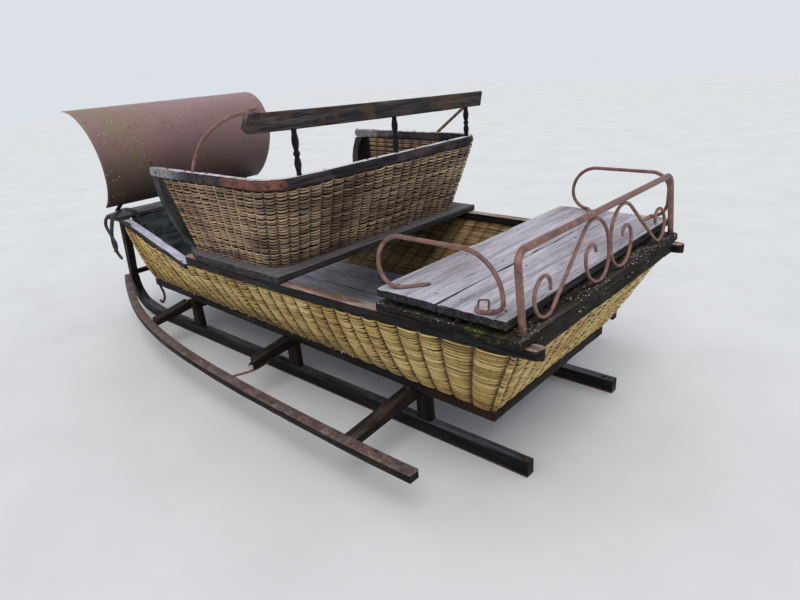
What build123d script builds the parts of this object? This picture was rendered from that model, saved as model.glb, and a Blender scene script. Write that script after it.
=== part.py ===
from build123d import *
from math import cos, hypot, radians, sin, tan
import os

# A horse drawn sleigh: two bent runners carry a flared wicker tub with a wicker driver's seat,
# a curled steel dash in front and a plank bench with wrought iron work at the back.
# Millimetres. +X points forward, +Y to the left and +Z up.
# The origin is on the ground under the middle of the sleigh.

# Whole sleigh
overall_length = 2830.0
front_end_x = overall_length / 2
rear_end_x = -overall_length / 2
seat_gap = 0.3                 # play between curved pieces that lie against each other

# Runners
runner_spacing = 656.0         # centre to centre
runner_width = 40.0
runner_height = 49.0
shoe_thickness = 6.0
runner_tail_x = rear_end_x + 147.0
toe_radius = 800.0             # the long first bend
toe_turn = 14.0
nose_radius = 190.0            # the tight bend up to the nose
tail_hole_radius = 7.0
tail_hole_inset = 45.0
shaft_bore_radius = 8.0
shaft_bore_drop = 38.0         # below the top of the runner's nose

# Nose
nose_post_depth = 44.0
nose_post_lean_in_y = 76.0
crossbar_size = 32.0
crossbar_z = 232.0

# Cross beams and knees
beam_width = 64.0
beam_height = 45.0
beam_half = runner_spacing / 2 + 32.0
knee_width = 66.0
knee_thickness = 36.0
beam_stations = (
    # station, x of the beam, how far its arms stand in front of it
    ("front", front_end_x - 703.0, 28.0),
    ("middle", -78.0, 0.0),
    ("rear", rear_end_x + 589.0, 24.0),
)

# Side bars
side_bar_width = 42.0
side_bar_height = 28.0
side_bar_top_z = 165.0
side_bar_tail_x = rear_end_x + 317.0
side_bar_bends = ((8500.0, -6.0), (3600.0, -13.5), (2000.0, -8.3))   # radius and turn in plan
side_bar_nose_offset = 32.0    # from the runner's centre line to the bar's, at the nose
side_bar_rise = 58.0           # how far the front end climbs to the nose
strap_thickness = 5.0
arm_width = 58.0
arm_height_inner = 45.0
arm_height_outer = 30.0
stub_length = 205.0            # what is left of the broken left arm
iron_width = 16.0
iron_thickness = 4.0

# Sill frame
sill_width = 42.0
sill_height = 37.0
sill_top_z = 242.0
sill_rear_x = rear_end_x + 240.0
sill_front_x = front_end_x - 303.0
sill_rear_half = runner_spacing / 2 + 72.0
sill_front_half = runner_spacing / 2 + 6.0

# Floor
bearer_height = 26.0
bearer_width = 50.0
floor_thickness = 22.0
floor_board_count = 5
floor_board_gap = 4.0
bearer_count = 5

# Wicker tub
wicker_thickness = 16.0
wicker_bulge = 9.0
wicker_foot_inset = 10.0       # the sill stands this far outside the wicker
rear_rail_x = rear_end_x + 37.0
rear_rail_depth = 50.0
tub_rail_width = 48.0
tub_rail_height = 39.0
tub_rail_top_z = 592.0
tub_rail_front_x = 246.0
tub_rail_rear_half = 550.0
tub_rail_middle_half = 594.0
tub_rail_front_half = 591.0
tub_rear_top_x = rear_end_x + 75.0
handle_rounding = 15.0         # plan rounding of the rail's rear end, which serves as a handle

# Rising front rails
front_rail_width = 46.0
front_rail_height = 27.0
front_rail_rear_z = 550.0      # top of the rail at its rear end
front_rail_nose_z = 605.0
front_rail_nose_x = sill_front_x
front_rail_nose_half = 440.0
front_panel_thickness = 16.0

# Nose plank and dash
nose_plank_length = 150.0
nose_plank_half = 482.0
nose_plank_thickness = 25.0
dash_thickness = 4.0
dash_bottom_x = front_rail_nose_x + 48.0
dash_gap = 42.0                # open slot between the nose plank and the dash
dash_lower_radius = 306.0
dash_lower_turn = 57.6
dash_upper_radius = 230.0
dash_upper_turn = 93.0
dash_start_heading = 147.6
dash_bottom_half = 485.0
dash_top_half = 545.0
dash_iron_width = 25.0
dash_iron_thickness = 6.0
dash_iron_offsets = (-400.0, -130.0, 130.0, 400.0)

# Driver's seat
seat_board_rear_x = -413.0
seat_board_front_x = 250.0
seat_board_half = 602.0
seat_board_corner = (120.0, 52.0)   # cut off each front corner, along x and along y
seat_board_thickness = 28.0
basket_height = 298.0
corner_stakes = 5              # flats of the weave round each rear corner
basket_bottom = {"front": 190.0, "rear": -350.0, "half": 545.0, "radius": 100.0}
rim = {"front": 362.0, "rear": -458.0, "half": 608.0, "radius": 122.0}
rim_width = 26.0
rim_height = 40.0
rim_overhang = 6.0             # the rim stands this far outside the wicker
stile_width = 104.0            # from the weave to the front of the rim
stile_thickness = 24.0
end_board_thickness = 12.0
stile_arcs = {
    # x and height above the seat board, at the foot, half way and at the head
    "front": ((250.0, 0.0), (357.0, 143.0), (350.0, 298.0)),
    "rear": ((206.0, 0.0), (322.0, 148.0), (300.0, 298.0)),
}
plate_thickness = 4.0
plate_height = 31.0
plate_reach = 180.0            # straight stretch in front of the corner
plate_turn = 68.0              # how far it follows the corner

# Back of the driver's seat
spindle_height = 136.0
spindle_offsets = (-500.0, -25.0, 475.0)
spindle_sides = 16
back_rail_half = 655.0
back_rail_tilt = 1.7           # degrees; the rail has sagged towards the right
back_rail_bow = 30.0
back_rail_thickness = 28.0
back_rail_height = 63.0
arm_rod_radius = 7.0
left_rod_foot_x = 35.0
right_rod_foot_x = -205.0
right_rod_heading = 144.0      # the right rod is straight and shorter

# Rear bench
bench_base_rear_x = rear_end_x + 35.0
bench_base_front_x = bench_base_rear_x + 512.0
bench_base_left_y = 585.0       # it lies a little to the left
bench_base_right_y = -560.0
bench_base_thickness = 29.0
batten_height = 19.0
batten_width = 44.0
batten_offsets = (-520.0, -175.0, 175.0, 520.0)
bench_board_thickness = 28.0
bench_board_rear_x = bench_base_rear_x + 45.0
bench_board_front_x = bench_base_front_x - 8.0
bench_board_half = 583.0
bench_board_gap = 5.0
pipe_radius = 10.5
pipe_half = 539.0
pipe_height = 222.0            # from the base to the pipe's centre line
pipe_bend = 38.0
pipe_lean = 5.0                # degrees that the hoop and the scrolls lean forward
scroll_radius = 5.5
scroll_middle_gap = 1.0        # between the two mirrored scrolls
armrest_radius = 6.5
armrest_plane = 556.0
left_loop_foot_x = bench_board_front_x - 58.0
right_loop_foot_x = bench_board_front_x - 138.0
foot_thickness = 5.0
foot_width = 26.0

# Derived levels
runner_top_z = shoe_thickness + runner_height
runner_y = runner_spacing / 2
sill_bottom_z = sill_top_z - sill_height
floor_top_z = sill_top_z + bearer_height + floor_thickness
tub_rail_bottom_z = tub_rail_top_z - tub_rail_height
seat_board_top_z = tub_rail_top_z + seat_board_thickness
basket_top_z = seat_board_top_z + basket_height
rim_top_z = basket_top_z + rim_height
back_rail_bottom_z = rim_top_z + spindle_height
back_rail_top_z = back_rail_bottom_z + back_rail_height
bench_base_top_z = tub_rail_top_z + bench_base_thickness
bench_board_bottom_z = bench_base_top_z + batten_height
bench_board_top_z = bench_board_bottom_z + bench_board_thickness
nose_plank_bottom_z = front_rail_nose_z + seat_gap
nose_plank_top_z = nose_plank_bottom_z + nose_plank_thickness


def side_plane(y):
    """Plane at this y, seen so that local x is forward and local y is up."""
    return Plane(origin=(0, y, 0), x_dir=(1, 0, 0), z_dir=(0, -1, 0))


def cross_plane(x):
    """Plane across the sleigh: local x is to the left and local y is up."""
    return Plane(origin=(x, 0, 0), x_dir=(0, 1, 0), z_dir=(1, 0, 0))


def block(x_range, y_range, z_range):
    """Box between these limits."""
    limits = (x_range, y_range, z_range)
    middle = [(low + high) / 2 for low, high in limits]
    return Pos(*middle) * Box(*[high - low for low, high in limits])


def slab(points, z, height):
    """Flat outline of straight edges, raised by height."""
    outline = make_face(Polyline(*points, close=True))
    return extrude(Pos(0, 0, z) * outline, amount=height)


def drawn(start, heading, steps):
    """Wire of tangent runs and arcs. Each step is (radius, amount): a run of that many
    millimetres where the radius is 0, and otherwise an arc of that many degrees,
    positive to the left."""
    edges = []
    point = Vector(*start)
    for radius, amount in steps:
        direction = Vector(cos(radians(heading)), sin(radians(heading)))
        if radius == 0:
            edges.append(Line(point, point + direction * amount))
        else:
            edges.append(JernArc(point, direction, radius, amount))
            heading += amount
        point = edges[-1] @ 1
    return Wire(edges)


def bar_along(path, across, width, depth):
    """Rectangular bar swept along a flat path; width lies along the across direction."""
    start = Plane(origin=path @ 0, x_dir=across, z_dir=path % 0)
    return sweep(start * Rectangle(width, depth), path)


def forged_along(path, across, radius, flats=6):
    """Hammered rod with flats, swept along a flat path; radius is to the flats."""
    start = Plane(origin=path @ 0, x_dir=across, z_dir=path % 0)
    return sweep(start * RegularPolygon(radius, flats, major_radius=False), path)


def flat_sided(rings):
    """Solid with flat faces through rings of as many corners each."""
    faces = [Face(Wire.make_polygon(ring, close=True)) for ring in (rings[0], rings[-1])]
    for low, high in zip(rings, rings[1:]):
        for index in range(len(low)):
            after = (index + 1) % len(low)
            corners = [low[index], low[after], high[after], high[index]]
            faces.append(Face(Wire.make_polygon(corners, close=True)))
    return Solid(Shell(faces))


def mirrored(shape):
    """The same piece on the other side of the sleigh."""
    return mirror(shape, about=Plane.XZ)


def both_sides(shape):
    """A piece and its mirror image as two solids of one node."""
    return Compound(children=[shape, mirrored(shape)])


nodes = {}

# Runners: flat timber bent up at the nose, on a steel shoe.
toe_reach = toe_radius * sin(radians(toe_turn))
nose_reach = nose_radius * (1 - sin(radians(toe_turn)))
bend_start_x = front_end_x - toe_reach - nose_reach
toe_rise = toe_radius * (1 - cos(radians(toe_turn)))
nose_top_z = toe_rise + nose_radius * cos(radians(toe_turn))


def runner_path(level):
    """Line of the runner at this height above the sole."""
    steps = (
        (0, bend_start_x - runner_tail_x),
        (toe_radius - level, toe_turn),
        (nose_radius - level, 90.0 - toe_turn),
    )
    return side_plane(runner_y) * drawn((runner_tail_x, level), 0.0, steps)


across_y = (0, 1, 0)
runner = bar_along(runner_path(shoe_thickness + runner_height / 2), across_y, runner_width, runner_height)
shoe = bar_along(runner_path(shoe_thickness / 2), across_y, runner_width, shoe_thickness)

tail_hole_x = runner_tail_x + tail_hole_inset
tail_bore = Pos(tail_hole_x, runner_y, runner_top_z / 2) * Cylinder(tail_hole_radius, 2 * runner_top_z)
shaft_bore_x = front_end_x - shoe_thickness - runner_height / 2
shaft_bore_z = nose_top_z - shaft_bore_drop
shaft_bore = Pos(shaft_bore_x, runner_y, shaft_bore_z) * Rot(90, 0, 0) * Cylinder(
    shaft_bore_radius, 2 * runner_width)
runner = runner - shaft_bore
nodes["runner_left"] = runner
# Only the right runner's tail shows an open bolt hole.
nodes["runner_right"] = mirrored(runner - tail_bore)
nodes["runner_shoes"] = Compound(children=[shoe, mirrored(shoe - tail_bore)])

# Nose posts lean back and out from the runner noses to the nose plank.
plank_rear_x = front_rail_nose_x - 22.0
plank_front_x = plank_rear_x + nose_plank_length
post_foot_x = shaft_bore_x
post_head_x = (plank_rear_x + plank_front_x) / 2 + 4.0
post_head_y = runner_y + nose_post_lean_in_y


def post_section(x, y, z):
    """Rectangle of the nose post at one level."""
    return Pos(x, y, z) * Rectangle(nose_post_depth, runner_width)


nose_post = loft([
    post_section(post_foot_x, runner_y, nose_top_z),
    post_section(post_head_x, post_head_y, nose_plank_bottom_z),
])
crossbar_lean = (crossbar_z - nose_top_z) / (nose_plank_bottom_z - nose_top_z)
crossbar_x = post_foot_x - crossbar_lean * (post_foot_x - post_head_x)
crossbar = block(
    (crossbar_x - crossbar_size / 2, crossbar_x + crossbar_size / 2),
    (-runner_y, runner_y),
    (crossbar_z - crossbar_size / 2, crossbar_z + crossbar_size / 2),
)
nodes["nose_posts"] = both_sides(nose_post)
nodes["nose_crossbar"] = crossbar - nose_post - mirrored(nose_post)

# Cross beams under the sill, each on two knees that stand on the runners.
beam_bottom_z = sill_bottom_z - beam_height
knees = []
for station, x, _ in beam_stations:
    beam_span = (x - beam_width / 2, x + beam_width / 2)
    nodes["cross_beam_" + station] = block(
        beam_span, (-beam_half, beam_half), (beam_bottom_z, sill_bottom_z))
    for side in (-1, 1):
        knees.append(loft([
            Pos(x, side * runner_y, runner_top_z) * Rectangle(knee_width, knee_thickness),
            Pos(x, side * runner_y, beam_bottom_z) * Rectangle(beam_width - 8, knee_thickness),
        ]))
nodes["knees"] = Compound(children=knees)

# Side bars: bowed timbers outside the runners, with a steel strap on top.
side_bar_nose_y = runner_y + side_bar_nose_offset
bends_only = drawn((0, 0), 0.0, side_bar_bends)
side_bar_straight = shaft_bore_x - side_bar_tail_x - (bends_only @ 1).X
side_bar_tail_y = side_bar_nose_y - (bends_only @ 1).Y
side_bar_plan = drawn((side_bar_tail_x, side_bar_tail_y), 0.0, ((0, side_bar_straight),) + side_bar_bends)
side_bar_stations = (0.0, 0.22, 0.45, 0.65, 0.8, 0.9, 1.0)
climb_start = 0.8


def side_bar_level(t):
    """Height of the bar's centre line at this share of its length."""
    climb = max(0.0, t - climb_start) / (1 - climb_start)
    return side_bar_top_z - side_bar_height / 2 + side_bar_rise * climb ** 2


def side_bar_piece(width, height, lift):
    """Loft along the bar's line; lift raises it off the centre line."""
    sections = []
    step = 0.002
    for t in side_bar_stations:
        point = side_bar_plan @ t
        heading = side_bar_plan % t
        ahead = side_bar_level(min(1.0, t + step)) - side_bar_level(max(0.0, t - step))
        run = side_bar_plan.length * (min(1.0, t + step) - max(0.0, t - step))
        tangent = Vector(heading.X, heading.Y, ahead / run)
        left = Vector(-heading.Y, heading.X, 0)
        plane = Plane(origin=(point.X, point.Y, side_bar_level(t)), x_dir=left, z_dir=tangent)
        up = 1 if plane.y_dir.Z > 0 else -1
        sections.append(plane * Pos(0, up * lift, 0) * Rectangle(width, height))
    return loft(sections)


nose_parts = runner + nose_post + shoe
side_bar = side_bar_piece(side_bar_width, side_bar_height, 0.0) - nose_parts
strap_lift = (side_bar_height + strap_thickness) / 2 + seat_gap
strap = side_bar_piece(side_bar_width - 2, strap_thickness, strap_lift) - nose_parts
nodes["side_bar_left"] = side_bar
nodes["side_bar_right"] = mirrored(side_bar)
nodes["side_bar_straps"] = both_sides(strap)
bar_room = side_bar_piece(side_bar_width + 2 * seat_gap,
                          side_bar_height + 2 * strap_thickness + 4 * seat_gap, 0.0)

# Arms reach from the cross beams out to the side bars. The left middle one has broken off.
stub_end_y = beam_half + stub_length
arm_drop = 2.0                 # the arms meet the bars just under the strap


def side_bar_y(x):
    """Centre line of the side bar at this station, found by halving."""
    low, high = 0.0, 1.0
    for _ in range(30):
        middle = (low + high) / 2
        if (side_bar_plan @ middle).X < x:
            low = middle
        else:
            high = middle
    return (side_bar_plan @ low).Y


def arm_section(x, y):
    """Rectangle across the arm at this distance from the middle of the sleigh."""
    share = (y - beam_half) / (side_bar_y(x) - side_bar_width / 2 - beam_half)
    top = sill_bottom_z + share * (side_bar_top_z - arm_drop - sill_bottom_z)
    height = arm_height_inner + share * (arm_height_outer - arm_height_inner)
    return Plane(origin=(x, y, top - height / 2), x_dir=(1, 0, 0), z_dir=(0, 1, 0)) * Rectangle(
        arm_width, height)


whole_arms = []
for station, beam_x, arm_shift in beam_stations:
    x = beam_x + arm_shift
    arm = loft([arm_section(x, beam_half), arm_section(x, side_bar_y(x))]) - bar_room
    whole_arms.append(mirrored(arm))
    if station == "middle":
        stub = loft([arm_section(x, beam_half), arm_section(x, stub_end_y)])
        break_corner = (x - arm_width, stub_end_y + 30)
        break_notch = slab((break_corner, (x + arm_width, stub_end_y + 30),
                            (x + arm_width, stub_end_y - 34), (x - 4, stub_end_y - 12)),
                           0, sill_top_z)
        nodes["broken_side_arm"] = stub - break_notch
    else:
        whole_arms.append(arm)
nodes["side_arms"] = Compound(children=whole_arms)

# The broken arm's bent iron hangs from the stub and still reaches the side bar.
iron_x = beam_stations[1][1]
iron_start_y = beam_half + 15.0
iron_reach = side_bar_y(iron_x) - iron_start_y
stub_slope = 5.5               # degrees that the underside of the arm falls
iron_start_z = arm_section(iron_x, iron_start_y).bounding_box().min.Z - 2.0 - iron_thickness / 2
iron_plane = Plane(origin=(iron_x, 0, 0), x_dir=(0, 1, 0), z_dir=(1, 0, 0))
iron_steps = (
    # radius, turn or length, from under the stub down and up again to the bar
    (0, 55.0), (60.0, -11.0), (0, 40.0), (230.0, 27.0), (0, iron_reach - 205.0),
)
iron_path = iron_plane * drawn((iron_start_y, iron_start_z), -stub_slope, iron_steps)
nodes["broken_arm_iron"] = bar_along(iron_path, (1, 0, 0), iron_width, iron_thickness) - bar_room

# Sill frame: two long sills that close in towards the front, and two cross pieces.
def sill_half(x):
    """Outer half width of the sill frame at this station."""
    share = (x - sill_rear_x) / (sill_front_x - sill_rear_x)
    return sill_rear_half + share * (sill_front_half - sill_rear_half)


sill_inner_rear = sill_rear_x + sill_width
sill_inner_front = sill_front_x - sill_width
long_sill = slab((
    (sill_rear_x, sill_half(sill_rear_x)),
    (sill_front_x, sill_half(sill_front_x)),
    (sill_front_x, sill_half(sill_front_x) - sill_width),
    (sill_rear_x, sill_half(sill_rear_x) - sill_width),
), sill_bottom_z, sill_height)
nodes["sill_left"] = long_sill
nodes["sill_right"] = mirrored(long_sill)
for name, low, high in (("sill_rear", sill_rear_x, sill_inner_rear),
                        ("sill_front", sill_inner_front, sill_front_x)):
    inner_low = sill_half(low) - sill_width
    inner_high = sill_half(high) - sill_width
    nodes[name] = slab(((low, inner_low), (high, inner_high), (high, -inner_high), (low, -inner_low)),
                       sill_bottom_z, sill_height)

# Tub rails: bowed in plan, each with its rear end rounded off as a handle.
tub_rail_rear_x = rear_end_x


def tub_rail_line(inset):
    """Plan arc of the rail, this far inside its outer edge."""
    return ThreePointArc(
        (tub_rail_rear_x, tub_rail_rear_half - inset),
        ((tub_rail_rear_x + tub_rail_front_x) / 2, tub_rail_middle_half - inset),
        (tub_rail_front_x, tub_rail_front_half - inset),
    )


def arc_band(outer, inner, z, height):
    """Solid between two plan arcs."""
    ends = [Line(outer @ 0, inner @ 0), Line(outer @ 1, inner @ 1)]
    return extrude(Pos(0, 0, z) * make_face(Wire([outer, inner] + ends)), amount=height)


tub_rail = arc_band(tub_rail_line(0), tub_rail_line(tub_rail_width), tub_rail_bottom_z, tub_rail_height)
rear_corners = tub_rail.edges().filter_by(Axis.Z).sort_by(Axis.X)[:2]
tub_rail = fillet(rear_corners, handle_rounding)
nodes["tub_rail_left"] = tub_rail
nodes["tub_rail_right"] = mirrored(tub_rail)

# Front rails: they rise and close in from the tub rails to the nose.
front_rail_rear_x = tub_rail_front_x + seat_gap
front_rail_slope = (front_rail_nose_z - front_rail_rear_z) / (front_rail_nose_x - front_rail_rear_x)
front_rail_run = front_rail_nose_x - front_rail_rear_x


def front_rail_level(x):
    """Top of the front rail at this station."""
    return front_rail_rear_z + (x - front_rail_rear_x) * front_rail_slope


def front_rail_half(x):
    """Outer half width of the front rails at this station."""
    share = (x - front_rail_rear_x) / front_rail_run
    return tub_rail_front_half + share * (front_rail_nose_half - tub_rail_front_half)


def front_rail_section(x):
    """Rectangle across the rail."""
    centre = (x, front_rail_half(x) - front_rail_width / 2, front_rail_level(x) - front_rail_height / 2)
    return Plane(origin=centre, x_dir=(0, 1, 0), z_dir=(1, 0, 0)) * Rectangle(
        front_rail_width, front_rail_height)


front_rail = loft([front_rail_section(front_rail_rear_x), front_rail_section(front_rail_nose_x)])
nodes["front_rail_left"] = front_rail
nodes["front_rail_right"] = mirrored(front_rail)

# Wicker sides of the tub: flared shells between the sill and the rails.
wicker_inset = 8.0             # the rails stand this far outside the wicker
wicker_rear_x = sill_rear_x + wicker_foot_inset
wicker_head_z = front_rail_nose_z
wall_stations = (
    # foot x, head x, head half width, head z
    (wicker_rear_x, tub_rear_top_x, tub_rail_rear_half + 4, tub_rail_bottom_z),
    (sill_rear_x + 395.0, tub_rear_top_x + 490.0, 580.0, tub_rail_bottom_z),
    (-300.0, -330.0, 586.0, tub_rail_bottom_z),
    (tub_rail_front_x, tub_rail_front_x, tub_rail_front_half, tub_rail_bottom_z),
    (700.0, 700.0, 524.0, 562.0),
    (sill_front_x, front_rail_nose_x, front_rail_nose_half + 4, wicker_head_z),
)


def wall_section(foot_x, head_x, head_half, head_z):
    """Bulged cross section of the wicker side, as one face in a slanted plane."""
    foot = Vector(foot_x, sill_half(foot_x) - wicker_foot_inset, sill_top_z)
    head = Vector(head_x, head_half - wicker_inset, head_z)
    middle = (foot + head) * 0.5 + Vector(0, wicker_bulge, 0)
    inward = Vector(0, -wicker_thickness, 0)
    outer = ThreePointArc(foot, middle, head)
    inner = ThreePointArc(foot + inward, middle + inward, head + inward)
    rims = [Line(foot, foot + inward), Line(head, head + inward)]
    return Face(Wire([outer, inner] + rims))


tub_side = loft([wall_section(*row) for row in wall_stations], ruled=True)
over_front_rail = side_plane(0) * make_face(Polyline(
    (front_rail_rear_x - 1, front_rail_level(front_rail_rear_x - 1) - front_rail_height - seat_gap),
    (sill_front_x + 60, front_rail_level(sill_front_x + 60) - front_rail_height - seat_gap),
    (sill_front_x + 60, tub_rail_top_z + 100),
    (front_rail_rear_x - 1, tub_rail_top_z + 100),
    close=True,
))
tub_side = tub_side - extrude(over_front_rail, amount=overall_length, both=True)
over_tub_rail = block((-overall_length, tub_rail_front_x + 2), (0, overall_length),
                      (tub_rail_bottom_z - seat_gap, tub_rail_top_z))
tub_side = tub_side - over_tub_rail
nodes["tub_side_left"] = tub_side
nodes["tub_side_right"] = mirrored(tub_side)

# Wicker rear wall, leaning out between the two sides up to the rail that carries the bench.
rear_lean = (tub_rear_top_x - wicker_rear_x) / (tub_rail_bottom_z - sill_top_z)
rear_foot_half = sill_rear_half - wicker_foot_inset
rear_flare = (tub_rail_rear_half + 4 - wicker_inset - rear_foot_half) / (tub_rail_bottom_z - sill_top_z)


def rear_wall_section(side):
    """End face of the rear wall, against the side wall's inner face."""
    rows = []
    for z, foot in ((sill_top_z, True), (tub_rail_bottom_z - seat_gap, False)):
        x = wicker_rear_x + (z - sill_top_z) * rear_lean
        y = rear_foot_half + (z - sill_top_z) * rear_flare - wicker_thickness - 3 * seat_gap
        pair = [Vector(x, side * y, z), Vector(x + wicker_thickness, side * y, z)]
        rows += pair if foot else pair[::-1]
    return rows


nodes["tub_rear"] = flat_sided([rear_wall_section(-1), rear_wall_section(1)])
rear_rail_half = tub_rail_rear_half - tub_rail_width - seat_gap
nodes["tub_rail_rear"] = block((rear_rail_x, rear_rail_x + rear_rail_depth), (-rear_rail_half, rear_rail_half),
                               (tub_rail_bottom_z, tub_rail_top_z))

# Front wall of the tub, closing it under the nose plank.
def front_wall_half(z):
    """Half width of the front wall at this height."""
    share = (z - sill_top_z) / (wicker_head_z - sill_top_z)
    head_half = front_rail_nose_half + 4 - wicker_inset
    foot_half = sill_front_half - wicker_foot_inset
    return foot_half + share * (head_half - foot_half) - wicker_thickness - 2 * seat_gap


front_top_z = front_rail_level(sill_front_x - front_panel_thickness) - front_rail_height - seat_gap
front_low = front_wall_half(sill_top_z)
front_high = front_wall_half(front_top_z)
front_outline = cross_plane(sill_front_x) * make_face(Polyline(
    (-front_low, sill_top_z), (front_low, sill_top_z),
    (front_high, front_top_z), (-front_high, front_top_z), close=True))
front_panel = extrude(front_outline, amount=-front_panel_thickness)
front_clear = front_rail_half(sill_front_x - front_panel_thickness) - front_rail_width - 10
front_panel = front_panel + block(
    (sill_front_x - front_panel_thickness, sill_front_x),
    (-front_clear, front_clear), (front_top_z - 1, nose_plank_bottom_z))
nodes["front_panel"] = front_panel

# Floor boards on cross bearers.
floor_rear_x = wicker_rear_x + wicker_thickness + 2
floor_front_x = sill_front_x - front_panel_thickness - 2
floor_room = wicker_foot_inset + wicker_thickness + 2
bearers = []
bearer_pitch = (floor_front_x - floor_rear_x - bearer_width) / (bearer_count - 1)
for index in range(bearer_count):
    x = floor_rear_x + bearer_width / 2 + index * bearer_pitch
    reach = sill_half(x) - floor_room
    bearers.append(block((x - bearer_width / 2, x + bearer_width / 2), (-reach, reach),
                         (sill_top_z, sill_top_z + bearer_height)))
nodes["floor_bearers"] = Compound(children=bearers)
boards = []
for index in range(floor_board_count):
    edges = []
    for x in (floor_rear_x, floor_front_x):
        pitch = 2 * (sill_half(x) - floor_room) / floor_board_count
        left = (index - floor_board_count / 2) * pitch + floor_board_gap / 2
        edges.append(((x, left), (x, left + pitch - floor_board_gap)))
    (rear_a, rear_b), (front_a, front_b) = edges
    boards.append(slab((rear_a, front_a, front_b, rear_b), sill_top_z + bearer_height, floor_thickness))
nodes["tub_floor"] = Compound(children=boards)

# Nose plank: a cross board with pointed ends on top of the posts and rails.
plank_point = 34.0
nodes["nose_plank"] = slab((
    (plank_rear_x, -nose_plank_half), (plank_front_x - plank_point, -nose_plank_half),
    (plank_front_x, -nose_plank_half + 2 * plank_point), (plank_front_x, nose_plank_half - 2 * plank_point),
    (plank_front_x - plank_point, nose_plank_half), (plank_rear_x, nose_plank_half),
), nose_plank_bottom_z, nose_plank_thickness)

# Dash: a curled steel sheet, wider at the top, on four flat irons.
dash_bottom_z = nose_plank_top_z + dash_gap
dash_path = side_plane(0) * drawn((dash_bottom_x, dash_bottom_z), dash_start_heading, (
    (dash_lower_radius, -dash_lower_turn), (dash_upper_radius, -dash_upper_turn)))
dash_top_z = dash_path.bounding_box().max.Z
dash_sheet = bar_along(dash_path, across_y, 2 * dash_top_half + 20, dash_thickness)
dash_flare = (dash_top_half - dash_bottom_half) / (dash_top_z - dash_bottom_z)
low_z = dash_bottom_z - 20
high_z = dash_top_z + 20
low_half = dash_bottom_half - 20 * dash_flare
high_half = dash_top_half + 20 * dash_flare
dash_outline = cross_plane(0) * make_face(Polyline(
    (-low_half, low_z), (low_half, low_z), (high_half, high_z), (-high_half, high_z), close=True))
nodes["dash_sheet"] = dash_sheet & extrude(dash_outline, amount=overall_length)

iron_shift = dash_thickness / 2 + dash_iron_thickness / 2 + seat_gap
heading = radians(dash_start_heading)
leg_length = (dash_gap + 12) / sin(heading)
leg_start = (dash_bottom_x + iron_shift * sin(heading) - leg_length * cos(heading),
             dash_bottom_z - iron_shift * cos(heading) - leg_length * sin(heading))
dash_irons = []
for y in dash_iron_offsets:
    leg_path = side_plane(y) * drawn(leg_start, dash_start_heading, (
        (0, leg_length),
        (dash_lower_radius - iron_shift, -dash_lower_turn),
        (dash_upper_radius - iron_shift, -dash_upper_turn * 0.7)))
    iron = bar_along(leg_path, across_y, dash_iron_width, dash_iron_thickness)
    above_plank = block((0, overall_length), (y - 50, y + 50), (nose_plank_top_z, dash_top_z + 50))
    dash_irons.append(iron & above_plank)
nodes["dash_irons"] = Compound(children=dash_irons)

# Driver's seat: a board across the rails carries the wicker basket and its bent rim.
corner_x, corner_y = seat_board_corner
nodes["seat_board"] = slab((
    (seat_board_rear_x, -seat_board_half), (seat_board_front_x - corner_x, -seat_board_half),
    (seat_board_front_x, -seat_board_half + corner_y), (seat_board_front_x, seat_board_half - corner_y),
    (seat_board_front_x - corner_x, seat_board_half), (seat_board_rear_x, seat_board_half),
), tub_rail_top_z, seat_board_thickness)


def u_wire(front, rear, half, radius, thickness, z):
    """Outline of a U shaped band, open to the front."""
    inner = half - thickness
    inner_radius = radius - thickness
    rear_in = rear + thickness
    bend = rear + radius
    slant = 1 - cos(radians(45))
    corner = radius * slant
    inner_corner = inner_radius * slant
    return Pos(0, 0, z) * Wire([
        Line((front, half), (bend, half)),
        ThreePointArc((bend, half), (rear + corner, half - corner), (rear, half - radius)),
        Line((rear, half - radius), (rear, radius - half)),
        ThreePointArc((rear, radius - half), (rear + corner, corner - half), (bend, -half)),
        Line((bend, -half), (front, -half)),
        Line((front, -half), (front, -inner)),
        Line((front, -inner), (bend, -inner)),
        ThreePointArc((bend, -inner), (rear_in + inner_corner, inner_corner - inner), (rear_in, radius - half)),
        Line((rear_in, radius - half), (rear_in, half - radius)),
        ThreePointArc((rear_in, half - radius), (rear_in + inner_corner, inner - inner_corner), (bend, inner)),
        Line((bend, inner), (front, inner)),
        Line((front, inner), (front, half)),
    ])


def staked_ring(front, rear, half, radius, z):
    """Corners of the woven shell at one level, flat between the stakes that turn each corner."""
    rows = []
    for inset in (0, wicker_thickness):
        turn = [radians(90 * step / corner_stakes) for step in range(corner_stakes + 1)]
        curve = [(rear + radius - (radius - inset) * sin(a), half - radius + (radius - inset) * cos(a))
                 for a in turn]
        left = [(front, half - inset)] + curve
        line = left + [(x, -y) for x, y in reversed(left)]
        rows += line if inset == 0 else line[::-1]
    return [Vector(x, y, z) for x, y in rows]


basket_top = {
    "front": rim["front"] - stile_width - rim_overhang,
    "rear": rim["rear"] + rim_overhang,
    "half": rim["half"] - rim_overhang,
    "radius": rim["radius"] - rim_overhang,
}
nodes["seat_basket"] = flat_sided([staked_ring(z=seat_board_top_z, **basket_bottom),
                                   staked_ring(z=basket_top_z, **basket_top)])
nodes["seat_rim"] = extrude(Face(u_wire(thickness=rim_width, z=basket_top_z, **rim)), amount=rim_height)

# Front ends of the seat: a bent stile with a thinner board between it and the weave, both leaning out.
seat_flare = Vector(0, basket_top["half"] - basket_bottom["half"], basket_height).normalized()
end_plane = Plane(origin=(0, basket_bottom["half"], seat_board_top_z), x_dir=(1, 0, 0),
                  z_dir=(0, -seat_flare.Z, seat_flare.Y))


def stile_arc(row, shift=0.0):
    """Bent edge of the stile, drawn in the leaning plane."""
    return ThreePointArc(*[(x + shift, height / seat_flare.Z) for x, height in stile_arcs[row]])


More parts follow.
